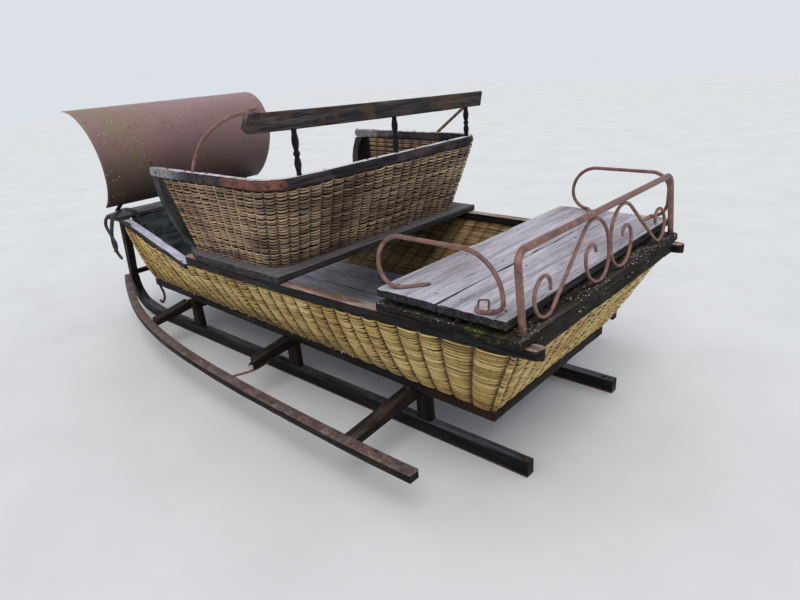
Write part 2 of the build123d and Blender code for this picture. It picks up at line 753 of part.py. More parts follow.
def closed_by(front, rear):
    """Face between two edges that both run from the foot to the head."""
    return make_face(Wire([front, rear, Line(front @ 0, rear @ 0), Line(front @ 1, rear @ 1)]))


weave_edge = Line((basket_bottom["front"] + seat_gap, 0),
                  (basket_top["front"] + seat_gap, basket_height / seat_flare.Z))
stile = extrude(end_plane * closed_by(stile_arc("front"), stile_arc("rear")), amount=stile_thickness,
                dir=(0, -1, 0))
end_board = extrude(end_plane * closed_by(stile_arc("rear", -seat_gap), weave_edge),
                    amount=end_board_thickness, dir=(0, -1, 0))
nodes["seat_stiles"] = both_sides(stile)
nodes["seat_end_boards"] = both_sides(end_board)

plate_radius = rim["radius"] + seat_gap + plate_thickness / 2
plate_start = (rim["rear"] + rim["radius"] + plate_reach, rim["half"] + seat_gap + plate_thickness / 2)
plate_path = Pos(0, 0, basket_top_z + rim_height / 2) * drawn(
    plate_start, 180.0, ((0, plate_reach), (plate_radius, plate_turn)))
plate = bar_along(plate_path, (0, 0, 1), plate_height, plate_thickness)
nodes["rim_corner_plates"] = both_sides(plate)

# The bowed back rail, tilted a little about the sleigh's middle.
spindle_x = rim["rear"] + rim_width / 2
back_rail_x = spindle_x


def back_rail_line(inset):
    """Plan arc of the back rail, this far in front of its rear face."""
    rear = back_rail_x - back_rail_thickness / 2 + inset
    return ThreePointArc((rear + back_rail_bow, -back_rail_half), (rear, 0),
                         (rear + back_rail_bow, back_rail_half))


def rail_tilted(shape):
    """Sets the rail level at its place, a little lower on the right."""
    return Pos(0, 0, back_rail_bottom_z) * Rot(back_rail_tilt, 0, 0) * shape


back_rail = arc_band(back_rail_line(0), back_rail_line(back_rail_thickness), 0, back_rail_height)
rail_room = rail_tilted(arc_band(back_rail_line(-seat_gap), back_rail_line(back_rail_thickness + seat_gap),
                                 0, back_rail_height))
lower_ends = back_rail.edges().filter_by(lambda e: abs(e.center().Z) < 1
                                         and abs(e.center().Y) > back_rail_half - 5)
back_rail = rail_tilted(chamfer(lower_ends, 20, 12))
nodes["back_rail"] = back_rail


def back_rail_level(y):
    """Underside of the tilted rail at this distance from the middle."""
    return back_rail_bottom_z + y * tan(radians(back_rail_tilt))


# Turned spindles stand on the rim and carry the back rail.
spindle_profile = (
    # share of the height, radius
    (0.0, 8.0), (0.24, 12.0), (0.40, 8.0), (0.47, 11.5), (0.54, 8.0), (0.74, 12.5), (1.0, 8.5),
)


def turned(profile, height):
    """Turned piece with many narrow flats, standing on the origin."""
    angles = [radians(360 * side / spindle_sides) for side in range(spindle_sides)]
    return flat_sided([
        [Vector(radius * cos(a), radius * sin(a), share * height) for a in angles]
        for share, radius in profile])


nodes["back_spindles"] = Compound(children=[
    Pos(spindle_x, y, rim_top_z) * turned(spindle_profile, back_rail_level(y) + 2 - rim_top_z) - back_rail
    for y in spindle_offsets])

# Rods spring from the rim to the ends of the back rail. The left one bends over on top of it,
# the right one runs straight up to its front face.
rod_y = rim["half"] - rim_width / 2
left_rod_top_z = back_rail_level(rod_y) + back_rail_height / cos(radians(back_rail_tilt)) + arm_rod_radius
rod_first_radius = 350.0
rod_first_heading = 118.0
rod_change_heading = 150.0
first_rise = rod_first_radius * (cos(radians(rod_first_heading)) - cos(radians(rod_change_heading)))
first_reach = rod_first_radius * (sin(radians(rod_first_heading)) - sin(radians(rod_change_heading)))
rod_second_radius = (left_rod_top_z - rim_top_z - first_rise) / (1 + cos(radians(rod_change_heading)))
second_reach = rod_second_radius * sin(radians(rod_change_heading))
rail_end_x = back_rail_x + back_rail_bow * (rod_y / back_rail_half) ** 2
left_rod_path = side_plane(rod_y) * drawn((left_rod_foot_x, rim_top_z), rod_first_heading, (
    (rod_first_radius, rod_change_heading - rod_first_heading),
    (rod_second_radius, 180.0 - rod_change_heading),
    (0, left_rod_foot_x - first_reach - second_reach - rail_end_x + 12)))
right_rod_path = side_plane(-rod_y) * drawn(
    (right_rod_foot_x, rim_top_z), right_rod_heading,
    ((0, (right_rod_foot_x - rail_end_x) / abs(cos(radians(right_rod_heading)))),))
above_rim = block((rear_end_x, front_end_x), (-overall_length, overall_length),
                  (rim_top_z, 2 * back_rail_bottom_z))
left_rod = forged_along(left_rod_path, across_y, arm_rod_radius) & above_rim
right_rod = (forged_along(right_rod_path, across_y, arm_rod_radius) & above_rim) - rail_room
nodes["back_arm_rods"] = Compound(children=[left_rod - back_rail, right_rod])

# Rear bench: a base board, battens and two grey seat boards.
nodes["bench_base"] = block((bench_base_rear_x, bench_base_front_x), (bench_base_right_y, bench_base_left_y),
                            (tub_rail_top_z, bench_base_top_z))
nodes["bench_battens"] = Compound(children=[
    block((bench_board_rear_x + 12, bench_board_front_x - 12), (y - batten_width / 2, y + batten_width / 2),
          (bench_base_top_z, bench_board_bottom_z)) for y in batten_offsets])
board_seam_x = (bench_board_rear_x + bench_board_front_x) / 2
for name, low, high in (("bench_board_rear", bench_board_rear_x, board_seam_x - bench_board_gap / 2),
                        ("bench_board_front", board_seam_x + bench_board_gap / 2, bench_board_front_x)):
    nodes[name] = block((low, high), (-bench_board_half, bench_board_half),
                        (bench_board_bottom_z, bench_board_top_z))

# Back hoop of the bench: one pipe bent at both ends, standing on the base behind the boards.
pipe_x = (bench_base_rear_x + bench_board_rear_x) / 2
lean = radians(pipe_lean)
pipe_plane = Plane(origin=(pipe_x, 0, bench_base_top_z), x_dir=(0, 1, 0), z_dir=(cos(lean), 0, -sin(lean)))
pipe_sunk = 2.0                # the legs are drawn this much too long and trimmed on the base
pipe_leg = pipe_height - pipe_bend + pipe_sunk
pipe_path = pipe_plane * drawn((pipe_half, -pipe_sunk), 90.0, (
    (0, pipe_leg), (pipe_bend, 90.0), (0, 2 * (pipe_half - pipe_bend)), (pipe_bend, 90.0), (0, pipe_leg)))
above_base = block((rear_end_x, bench_base_front_x), (-overall_length, overall_length),
                   (bench_base_top_z, back_rail_bottom_z))
nodes["bench_back_hoop"] = forged_along(pipe_path, pipe_plane.z_dir, pipe_radius, 10) & above_base

# Two wrought S scrolls stand mirrored under the hoop, touching it and the base.
scroll_low = scroll_radius * (1 + tan(radians(30)) * tan(lean))
scroll_high = pipe_height - pipe_radius - scroll_radius
climb_heading = 141.0
climb_turn = 180.0 - climb_heading
foot_radius, crown_radius, flank_radius, heart_radius = 59.0, 100.0, 103.0, 77.0
climb_rise = scroll_high - scroll_low - (foot_radius + crown_radius) * (1 - cos(radians(climb_turn)))
drop_run = scroll_high - scroll_low - flank_radius - heart_radius
scroll_steps = (
    # radius, turn or length, from the outer curl over the crown to the inner curl
    (34.0, -117.0), (57.0, -90.0), (foot_radius, -90.0), (foot_radius, -climb_turn),
    (0, climb_rise / sin(radians(climb_heading))), (crown_radius, climb_turn), (flank_radius, 90.0),
    (0, drop_run), (heart_radius, 90.0), (84.0, 90.0), (42.0, 90.0), (28.0, 95.0),
)
scroll_start_heading = 117.0
trial = drawn((0, 0), scroll_start_heading, scroll_steps).bounding_box()
scroll_start = (scroll_middle_gap / 2 + scroll_radius / cos(radians(30)) - trial.min.X, scroll_low - trial.min.Y)
scroll_path = pipe_plane * drawn(scroll_start, scroll_start_heading, scroll_steps)
nodes["bench_scrolls"] = both_sides(forged_along(scroll_path, pipe_plane.z_dir, scroll_radius))

# Armrest loops: one bent rod each side with flat forged feet turned in onto the boards.
loop_low_z = bench_board_top_z + armrest_radius
left_loop_steps = (
    # radius, turn or length, from the front foot round to the rear foot
    (65.0, 90.0), (95.0, 90.0), (0, 215.0), (130.0, 90.0), (30.0, 90.0),
)
right_loop_steps = (
    (69.0, 90.0), (100.0, 90.0), (0, 219.0), (67.0, 90.0), (0, 42.0), (60.0, 90.0),
)
front_foot = (-62.0, -88.0)    # how far the foot reaches back and in from the loop's end
rear_foot = (10.0, -72.0)


def armrest(foot_x, steps):
    """A loop on the left, in its own upright plane."""
    path = side_plane(armrest_plane) * drawn((foot_x, loop_low_z), 0.0, steps)
    loop = forged_along(path, across_y, armrest_radius)
    for end, (reach_x, reach_y) in ((path @ 0, front_foot), (path @ 1, rear_foot)):
        length = hypot(reach_x, reach_y)
        along = Vector(reach_x / length, reach_y / length)
        side = Vector(-along.Y, along.X) * (foot_width / 2)
        root = Vector(end.X, end.Y) - along * 6
        tip = Vector(end.X + reach_x, end.Y + reach_y)
        corners = (root - side * 0.7, tip - side, tip + side, root + side * 0.7)
        loop = loop + slab([(corner.X, corner.Y) for corner in corners], bench_board_top_z, foot_thickness)
    return loop


nodes["armrest_left"] = armrest(left_loop_foot_x, left_loop_steps)
nodes["armrest_right"] = mirrored(armrest(right_loop_foot_x, right_loop_steps))

os.makedirs("parts", exist_ok=True)
for name, shape in nodes.items():
    export_step(shape, "parts/" + name + ".step")
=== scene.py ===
import bpy
import math
import random
from mathutils import Matrix, Vector, noise
from mathutils.bvhtree import BVHTree
import numpy as np


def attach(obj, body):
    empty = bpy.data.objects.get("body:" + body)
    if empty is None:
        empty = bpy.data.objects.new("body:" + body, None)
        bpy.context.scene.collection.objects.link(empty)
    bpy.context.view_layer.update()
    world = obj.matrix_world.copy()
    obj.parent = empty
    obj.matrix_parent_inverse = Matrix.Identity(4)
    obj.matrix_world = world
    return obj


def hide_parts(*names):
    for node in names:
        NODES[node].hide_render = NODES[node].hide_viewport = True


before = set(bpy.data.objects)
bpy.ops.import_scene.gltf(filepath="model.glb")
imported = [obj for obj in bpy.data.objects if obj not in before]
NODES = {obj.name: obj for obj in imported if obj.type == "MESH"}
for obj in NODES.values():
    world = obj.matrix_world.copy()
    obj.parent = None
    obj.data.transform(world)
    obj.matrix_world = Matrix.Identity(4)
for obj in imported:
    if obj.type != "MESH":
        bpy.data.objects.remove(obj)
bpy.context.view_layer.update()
scene = bpy.context.scene
scene.view_settings.view_transform = "Standard"

# ---- camera and light
IMAGE_WIDTH, FOCAL_PIXELS, SENSOR = 800, 613.22, 36.0
EYE = (-2.1069, 1.8119, 1.32)
yaw, pitch, roll = (math.radians(a) for a in (-47.26, 21.84, -3.97))
forward = Vector((math.cos(yaw) * math.cos(pitch), math.sin(yaw) * math.cos(pitch), -math.sin(pitch)))
level_right = Vector((math.sin(yaw), -math.cos(yaw), 0.0))
level_up = level_right.cross(forward)
right = level_right * math.cos(roll) + level_up * math.sin(roll)
up = level_up * math.cos(roll) - level_right * math.sin(roll)
camera_data = bpy.data.cameras.new("camera")
camera_data.sensor_width = SENSOR
camera_data.lens = FOCAL_PIXELS / IMAGE_WIDTH * SENSOR
camera_data.clip_end = 60.0
camera = bpy.data.objects.new("camera", camera_data)
camera.matrix_world = Matrix.Translation(EYE) @ Matrix((right, up, -forward)).transposed().to_4x4()
scene.collection.objects.link(camera)
scene.camera = camera

world = bpy.data.worlds.new("studio")
world.use_nodes = True
sky = world.node_tree.nodes["Background"]
sky.inputs["Color"].default_value = (0.90, 0.94, 1.0, 1)
sky.inputs["Strength"].default_value = 0.80
scene.world = world

key = bpy.data.lights.new("key", "SUN")
key.energy, key.angle, key.color = 1.15, math.radians(40), (1.0, 0.98, 0.95)
lamp = bpy.data.objects.new("key", key)
lamp.rotation_mode = "QUATERNION"
lamp.rotation_quaternion = Vector((0.35, -0.45, -1.0)).to_track_quat("-Z", "Y")
scene.collection.objects.link(lamp)


# ---- material helpers
def rgb(code):
    """Linear colour of a display colour written as six hex digits."""
    return tuple(c / 255 / 12.92 if c <= 10 else ((c / 255 + 0.055) / 1.055) ** 2.4
                 for c in bytes.fromhex(code)) + (1.0,)


def scaled(colour, factor):
    return tuple(min(1.0, factor * c) for c in colour[:3]) + (1.0,)


class Shade:
    """One procedural material, built in object coordinates (metres)."""

    def __init__(self, name, roughness=0.7, metallic=0.0, specular=0.5):
        self.material = bpy.data.materials.new(name)
        self.material.use_nodes = True
        self.tree = self.material.node_tree
        self.shader = self.tree.nodes["Principled BSDF"]
        for socket, value in (("Metallic", metallic), ("Roughness", roughness), ("Specular IOR Level", specular)):
            self.shader.inputs[socket].default_value = value
        self.coords = self.add("TexCoord").outputs["Object"]
        self.normal = None

    def add(self, kind, inputs=(), **props):
        """New node; each input is linked to a socket or set to a value."""
        node = self.tree.nodes.new("ShaderNode" + kind)
        for key, value in props.items():
            setattr(node, key, value)
        for key, value in dict(inputs).items():
            if isinstance(value, bpy.types.NodeSocket):
                self.tree.links.new(value, node.inputs[key])
            else:
                node.inputs[key].default_value = value
        return node

    def stretched(self, scale, shift=(0, 0, 0)):
        return self.add("Mapping", {"Vector": self.coords, "Scale": scale, "Location": shift}).outputs[0]

    def noise(self, scale, detail=4.0, rough=0.55, distortion=0.0, vector=None):
        return self.add("TexNoise", {
            "Vector": vector or self.coords, "Scale": scale, "Detail": detail, "Roughness": rough,
            "Distortion": distortion}).outputs["Fac"]

    def cells(self, scale):
        return self.add("TexVoronoi", {"Vector": self.coords, "Scale": scale}).outputs["Distance"]

    def ramp(self, fac, *stops):
        """Colour ramp; each stop is a place and a colour or a grey level."""
        node = self.add("ValToRGB", {"Fac": fac})
        marks = node.color_ramp.elements
        while len(marks) < len(stops):
            marks.new(0.5)
        for mark, (place, colour) in zip(marks, stops):
            mark.position = place
            mark.color = colour if isinstance(colour, tuple) else (colour, colour, colour, 1)
        return node.outputs["Color"]

    def mask(self, fac, low, high, full=1.0):
        """0 up to low, full from high on."""
        return self.ramp(fac, (low, 0.0), (high, full))

    def fade(self, fac, low, high, full=1.0):
        """full up to low, 0 from high on."""
        return self.ramp(fac, (low, full), (high, 0.0))

    def mix(self, fac, a, b, blend="MIX"):
        return self.add("Mix", {0: fac, 6: a, 7: b}, data_type="RGBA", blend_type=blend).outputs[2]

    def math(self, kind, a, b, c=0.0):
        return self.add("Math", {0: a, 1: b, 2: c}, operation=kind).outputs[0]

    def times(self, a, b):
        return self.math("MULTIPLY", a, b)

    def facing_up(self, low=0.55, high=0.85):
        """1 on faces that look up, 0 on the others."""
        normal = self.add("NewGeometry").outputs["Normal"]
        return self.mask(self.add("SeparateXYZ", {0: normal}).outputs["Z"], low, high)

    def along(self, axis):
        return self.add("SeparateXYZ", {0: self.coords}).outputs[axis]

    def away_from(self, place):
        return self.add("VectorMath", {0: self.coords, 1: place}, operation="DISTANCE").outputs["Value"]

    def bump(self, height, strength, distance):
        inputs = {"Height": height, "Strength": strength, "Distance": distance}
        if self.normal is not None:
            inputs["Normal"] = self.normal
        self.normal = self.add("Bump", inputs).outputs[0]

    def done(self, colour, roughness=None):
        for socket, source in (("Base Color", colour), ("Roughness", roughness), ("Normal", self.normal)):
            if source is not None:
                self.tree.links.new(source, self.shader.inputs[socket])
        return self.material


def wood(name, axis, tones, top=None, top_wear_and_light_share=0.5, patch=None, patch_share=0.5, rough=(0.45, 0.8), crack=0.6,
         lichen=0.0, moss=None, stain=None, sheen=0.06, front=None):
    """Weathered timber with its grain along an axis. tones are the grain's dark, middle and light colour; then come
    the paler upper faces (partly weathering, partly painted light from above), faded patches, stains on top, and moss
    as a centre and a reach."""
    s = Shade(name, specular=sheen)
    dark, middle, light = map(rgb, tones.split())

    def grainwise(lengthways, crossways, shift=(0, 0, 0)):
        return s.stretched([lengthways if a == axis else crossways for a in "XYZ"], shift)

    grain = s.noise(1.0, 7.0, 0.62, 0.8, grainwise(2.8, 88))
    fine = s.noise(3.1, 4.0, 0.6, 0.2, grainwise(2.8, 88, (3, 5, 7)))
    cloud = s.noise(6.5, 3.0, 0.6, 0.3)
    colour = s.ramp(grain, (0.30, dark), (0.52, middle), (0.74, light))
    if patch is not None:
        area = s.mask(cloud, 0.62 - 0.25 * patch_share, 0.74 - 0.25 * patch_share, 0.75)
        colour = s.mix(area, colour, rgb(patch))
    # upper faces are paler in worn patches: partly weathering, partly painted light from above
    if top is not None:
        top = rgb(top)
        worn = s.noise(13.0, 7.0, 0.72, 0.15, grainwise(0.16, 1.26))
        worn = s.ramp(worn, (0.62 - 0.4 * top_wear_and_light_share, 0.15), (0.80 - 0.4 * top_wear_and_light_share, 1.0))
        top_wear_and_light_grain = s.ramp(grain, (0.30, scaled(top, 0.38)), (0.44, scaled(top, 0.78)), (0.56, top),
                           (0.8, scaled(top, 1.3)))
        colour = s.mix(s.times(s.facing_up(), worn), colour, top_wear_and_light_grain)
    if stain is not None:
        blot = s.mask(s.noise(5.0, 7.0, 0.7, 0.2, grainwise(0.45, 1.75, (2, 9, 4))), 0.46, 0.68, 0.7)
        colour = s.mix(s.times(blot, s.facing_up()), colour, rgb(stain))
    if lichen:
        spots = s.fade(s.cells(95.0), 0.20, 0.26)
        area = s.mask(s.noise(6.0, 3.0, 0.6, 0.0, s.stretched((1, 1, 1), (7, 1, 3))),
                      0.60 - 0.2 * lichen, 0.66 - 0.2 * lichen)
        share = s.times(s.times(spots, area), s.facing_up(0.0, 0.5))
        colour = s.mix(s.times(share, lichen), colour, rgb("cecec4"))
    if moss is not None:
        centre, reach = moss
        near = s.fade(s.away_from(centre), 0.25 * reach, reach)
        tufts = s.mask(s.noise(46.0, 5.0, 0.7), 0.50, 0.60)
        colour = s.mix(s.times(near, tufts), colour, rgb("4a581a"))
    if front is not None:
        front = rgb(front)
        patina = s.mask(s.math("MULTIPLY_ADD", s.noise(14.0, 6.0, 0.65), 0.35, s.along("X")), 0.24, 0.42, 0.9)
        colour = s.mix(patina, colour, s.ramp(grain, (0.3, scaled(front, 0.35)), (0.6, front)))
    slits = s.fade(fine, 0.33, 0.40)
    colour = s.mix(s.times(slits, crack), colour, scaled(dark, 0.25))
    s.bump(grain, 0.45, 0.0025)
    s.bump(s.math("SUBTRACT", 1.0, slits), 0.35, 0.0015)
    return s.done(colour, s.ramp(cloud, (0.35, rough[0]), (0.65, rough[1])))


def rust(name, tones, rough=(0.55, 0.85), scale=26.0, metallic=0.15, pitting=0.7):
    """Rusted iron, mottled and pitted. tones are its dark, middle, light and scab colour."""
    s = Shade(name, metallic=metallic)
    dark, middle, light, bright = map(rgb, tones.split())
    broad = s.noise(scale * 0.35, 4.0, 0.6, 0.5)
    pits = s.noise(scale * 7.0, 5.0, 0.7)
    mottle = s.noise(scale * 1.6, 6.0, 0.65, 0.8)
    colour = s.ramp(mottle, (0.32, dark), (0.52, middle), (0.70, light))
    colour = s.mix(s.mask(broad, 0.50, 0.72, 0.8), colour, bright)
    colour = s.mix(s.fade(pits, 0.36, 0.45, pitting), colour, scaled(dark, 0.4))
    s.bump(pits, 0.5 * pitting, 0.0012)
    s.bump(mottle, 0.3, 0.002)
    return s.done(colour, s.ramp(mottle, (0.35, rough[0]), (0.65, rough[1])))


def dash_steel():
    """Smooth rusted sheet, darker to the foot, with an olive corner, pale specks, one orange scab and a painted
    highlight along its top lip.
    """
    s = Shade("dash_steel", metallic=0.05, specular=0.35)
    broad = s.noise(2.4, 5.0, 0.55, 0.5)
    fine = s.noise(60.0, 5.0, 0.65)
    place = s.math("MULTIPLY_ADD", s.math("SUBTRACT", broad, 0.5), 0.22, s.along("Z"))
    colour = s.ramp(place, (0.66, rgb("3c2d2a")), (0.78, rgb("5e4845")), (0.90, rgb("785e5d")), (1.00, rgb("846765")))
    # painted highlight: the top lip, where the sheet curls forward, is given a paler colour
    colour = s.mix(s.mask(s.math("SUBTRACT", place, 0.18), 0.84, 0.97), colour, rgb("947878"))
    streak = s.mask(s.noise(1.0, 5.0, 0.65, 0.3, s.stretched((4.0, 13.0, 2.0))), 0.38, 0.62, 0.8)
    olive = s.mix(s.mask(s.along("Z"), 0.72, 1.0), rgb("423824"), rgb("847654"))
    colour = s.mix(s.times(streak, s.mask(s.along("Y"), 0.10, 0.42)), colour, olive)
    scab = s.times(s.fade(s.away_from((1.03, 0.12, 1.10)), 0.015, 0.065),
                   s.mask(s.noise(26.0, 5.0, 0.6, 0.6), 0.44, 0.54, 0.9))
    colour = s.mix(scab, colour, rgb("9e5c42"))
    colour = s.mix(s.fade(fine, 0.36, 0.46, 0.30), colour, rgb("3c2a28"))
    specks = s.fade(s.cells(48.0), 0.10, 0.15, 0.95)
    area = s.times(s.mask(s.noise(9.0, 2.0), 0.50, 0.60), s.ramp(s.along("Y"), (0.12, 0.12), (0.30, 1.0)))
    colour = s.mix(s.times(specks, area), colour, rgb("d6cea0"))
    s.bump(fine, 0.12, 0.001)
    s.bump(broad, 0.2, 0.004)
    return s.done(colour, s.ramp(broad, (0.3, 0.44), (0.7, 0.58)))


def willow(name, tones, nose=None):
    """Split willow: a value stored on each strand sets its brightness, which is partly the strand's own colour and
    partly painted highlight and shade; with stains and dark knots. tones are its pale, middle, dark and stain colour,
    nose is a tint and where it starts and is full along the sleigh."""
    s = Shade(name, roughness=0.62, specular=0.35)
    pale, middle, dark, stain = map(rgb, tones.split())
    strand = s.add("Attribute", attribute_name="tone_and_shade").outputs["Fac"]
    fine = s.noise(110.0, 4.0, 0.65)
    colour = s.ramp(strand, (0.0, dark), (0.42, middle), (1.0, pale))
    colour = s.mix(s.mask(s.noise(5.5, 4.0, 0.62, 0.4), 0.46, 0.66, 0.7), colour, stain, "MULTIPLY")
    if nose is not None:
        tint, start, full = nose
        share = s.mask(s.math("MULTIPLY_ADD", s.along("X"), 0.5, 0.5),
                       0.5 + 0.5 * start, 0.5 + 0.5 * full, 0.7)
        colour = s.mix(share, colour, s.mix(1.0, colour, scaled(rgb(tint), 2.2), "MULTIPLY"))
    colour = s.mix(s.fade(fine, 0.32, 0.44, 0.7), colour, scaled(dark, 0.35))
    s.bump(fine, 0.35, 0.0008)
    return s.done(colour)


def mottled(name, scale, low, high, knobbly=0.0, **ways):
    """Two tones in soft clouds; each is a place on the ramp and a colour."""
    s = Shade(name, **ways)
    if knobbly:
        s.bump(s.noise(knobbly, 3.0), 0.4, 0.0008)
    return s.done(s.ramp(s.noise(scale), low, high))


MAT = {
    "railX": wood("worn_rail_X", "X", "0e0d0f 211f21 3c393a", top="c6aca0", top_wear_and_light_share=0.62, patch="2c2422",
                  rough=(0.35, 0.7), stain="966c4c"),
    "front_rail": wood("grey_rail", "X", "141214 2a282a 464346", top="c2becc", top_wear_and_light_share=0.97),
    "base": wood("bench_base", "Y", "0f0d0c 24201e 3e3832", top="4c453e", top_wear_and_light_share=0.55, patch="22201a",
                 patch_share=0.4, lichen=0.8, moss=((-1.265, 0.60, 0.615), 0.085)),
    "plank": wood("bench_plank", "Y", "141416 2e2d30 4c4a4c", top="beb8c2", top_wear_and_light_share=1.05, patch="323428",
                  patch_share=0.45, lichen=0.25, moss=((-1.295, 0.605, 0.640), 0.085), stain="7c7474"),
    "seat_board": wood("seat_board", "Y", "161515 3a3737 625d5e", top="706c6f", top_wear_and_light_share=0.90, patch="2e302a",
                       patch_share=0.4),
    "back_rail": wood("back_rail", "Y", "121113 3a3636 68605c", top="746c6a", patch="56463c", patch_share=0.4),
    "nose_plank": wood("nose_plank", "Y", "1a191b 383638 585557", top="807d82", top_wear_and_light_share=0.75),
    "rim": wood("seat_rim", "Y", "141315 302e30 5c585a", top="ded2d8", top_wear_and_light_share=0.80, patch="544a48",
                patch_share=0.45, front="9e9a9e"),
    "floor": wood("floor_boards", "X", "3a3b44 7e8090 aaacbe", top="acaebe", top_wear_and_light_share=0.95, patch="4c484e",
                  patch_share=0.4, rough=(0.15, 0.5), stain="5c5860", sheen=0.5),
    "runner": wood("runner_wood", "X", "0a090b 1c1a1d 343135", top="68646a", top_wear_and_light_share=0.55, rough=(0.25, 0.6)),
    "lining": wood("painted_lining", "Y", "222427 404448 64686e", patch="646a68", patch_share=0.6, rough=(0.3, 0.6),
                   crack=0.3),
    "endboard": wood("end_board", "Z", "080606 140f0e 281f1c", rough=(0.4, 0.7)),
    "stile": wood("bent_stile", "Z", "1e1f1f 404240 686a66", patch="2e2c2a"),
    "black": wood("black_paint", "Z", "0c0b0d 1e1d20 38363a", rough=(0.3, 0.6)),
    "iron": rust("brown_iron", "563b34 7a584f 987770 946250", rough=(0.38, 0.6), scale=18.0, pitting=0.3),
    "pale_iron": rust("pale_iron", "968282 beacae d4c6ca b29692", pitting=0.2),
    "bolt": rust("dark_bolt", "1e1614 382a26 58443e 684234", scale=60.0),
    "strap": rust("steel_strap", "483a38 705d5c 948282 7c5648", scale=12.0, metallic=0.3),
    "plate": rust("corner_plate", "40221c 6c3e32 8c5848 9e684a", pitting=0.5),
    "shoe": rust("shoe_steel", "241c1a 46342e 644e46 6e4230"),
    "dash": dash_steel(),
    "straw": willow("straw_wicker", "f6dea0 bc9e5c 382816 c4a478", ("beae90", 0.35, 0.75)),
    "straw_in": willow("inner_wicker", "e2c48c a4885c 3e3022 aa9274"),
    "seat_weave": willow("seat_wicker", "d8bc92 826a54 201916 968280", ("b0a476", 0.05, 0.30)),
    "core": mottled("wicker_core", 60.0, (0.35, rgb("16100a")), (0.65, rgb("322618")), roughness=0.9),
    "leather": mottled("black_leather", 30.0, (0.3, rgb("0e0d0e")), (0.7, rgb("302c2e")), 240.0, roughness=0.55),
    "stage": mottled("studio_floor", 2.0, (0.3, rgb("d6d6d6")), (0.7, rgb("dedede")), roughness=0.9, specular=0.1),
}
for axis in "XYZ":
    MAT["dark" + axis] = wood("dark_timber_" + axis, axis, "0d0b0c 1f1b1b 38312e", top="544b46", top_wear_and_light_share=0.40,
                              patch="32251e", patch_share=0.4, rough=(0.35, 0.7))


# ---- mesh helpers
def piece(name, verts, faces, material, slot, stands_for=(), smooth=True, tone_and_shade=None):
    """New mesh piece that rides on the sleigh."""
    mesh = bpy.data.meshes.new(name)
    mesh.from_pydata([tuple(v) for v in verts], [], [tuple(f) for f in faces])
    mesh.polygons.foreach_set("use_smooth", [smooth] * len(mesh.polygons))
    mesh.materials.append(MAT[material])
    if tone_and_shade is not None:
        layer = mesh.attributes.new("tone_and_shade", "FLOAT", "POINT")
        layer.data.foreach_set("value", np.asarray(tone_and_shade, np.float32))
    mesh.update()
    obj = bpy.data.objects.new(name, mesh)
    scene.collection.objects.link(obj)
    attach(obj, "root")
    if stands_for:
        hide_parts(*stands_for)
    return obj


def strips(rings, size, closed=True):
    """Quads between successive rings (or open rows) of points."""
    return [(i * size + k, i * size + (k + 1) % size, (i + 1) * size + (k + 1) % size, (i + 1) * size + k)
            for i in range(rings - 1) for k in range(size if closed else size - 1)]


def capped(rings, size):
    """The same, with a face over each end."""
    return strips(rings, size) + [tuple(reversed(range(size))), tuple(range((rings - 1) * size, rings * size))]


def joined(parts):
    """Several (vertices, faces) as one."""
    verts, faces = [], []
    for v, f in parts:
        base = len(verts)
        verts += list(v)
        faces += [tuple(i + base for i in face) for face in f]
    return verts, faces


def drawn(start, heading, steps, pace=6.0):
    """Points along tangent runs and arcs: (0, length) or (radius, degrees to the left)."""
    points = [Vector(start)]
    for radius, amount in steps:
        here = points[-1]
        angle = math.radians(heading)
        if radius == 0:
            count = max(1, int(amount / 0.03))
            points += [here + Vector((math.cos(angle), math.sin(angle))) * amount * k / count
                       for k in range(1, count + 1)]
        else:
            count = max(2, int(abs(amount) / pace))
            turn = 1 if amount > 0 else -1
            centre = here + Vector((-math.sin(angle), math.cos(angle))) * radius * turn
            for k in range(1, count + 1):
                a = math.radians(heading + amount * k / count)
                points.append(centre - Vector((-math.sin(a), math.cos(a))) * radius * turn)
            heading += amount
    return points


def placed(points, origin, across, up):
    """Flat points laid into a plane."""
    return [Vector(origin) + Vector(across) * p.x + Vector(up) * p.y for p in points]


def lengthwise(points, y):
    """Flat points laid into the upright plane along the sleigh at y."""
    return placed(points, (0, y, 0), (1, 0, 0), (0, 0, 1))


def headings(path):
    """Unit direction at each point of a path."""
    last = len(path) - 1
    return [(path[min(i + 1, last)] - path[max(i - 1, 0)]).normalized() for i in range(last + 1)]


def tube(path, radius, sides, seed=0, rough=0.0, squash=None):
    """Round bar along a path; returns vertices and faces. squash maps the share along it to (wide, flat)."""
    rng = random.Random(seed)
    path = [Vector(p) for p in path]
    verts, side = [], None
    for i, (p, ahead) in enumerate(zip(path, headings(path))):
        if side is None:
            side = ahead.orthogonal().normalized()
        side = (side - ahead * side.dot(ahead)).normalized()
        other = ahead.cross(side)
        grow = radius * (1 + rough * (rng.random() - 0.5))
        wide, flat = squash(i / (len(path) - 1)) if squash else (1, 1)
        for k in range(sides):
            a = 2 * math.pi * k / sides
            verts.append(p + side * grow * wide * math.cos(a) + other * grow * flat * math.sin(a))
    return verts, capped(len(path), sides)


def curve_through(points, steps=8):
    """Smooth line through some points."""
    p = [Vector(q) for q in points]
    p = [p[0] * 2 - p[1]] + p + [p[-1] * 2 - p[-2]]
    line = []
    for i in range(1, len(p) - 2):
        for f in (k / steps for k in range(steps)):
            line.append(0.5 * (2 * p[i] + (p[i + 1] - p[i - 1]) * f
                               + (2 * p[i - 1] - 5 * p[i] + 4 * p[i + 1] - p[i + 2]) * f * f
                               + (3 * p[i] - p[i - 1] - 3 * p[i + 1] + p[i + 2]) * f ** 3))
    return line + [p[-2]]


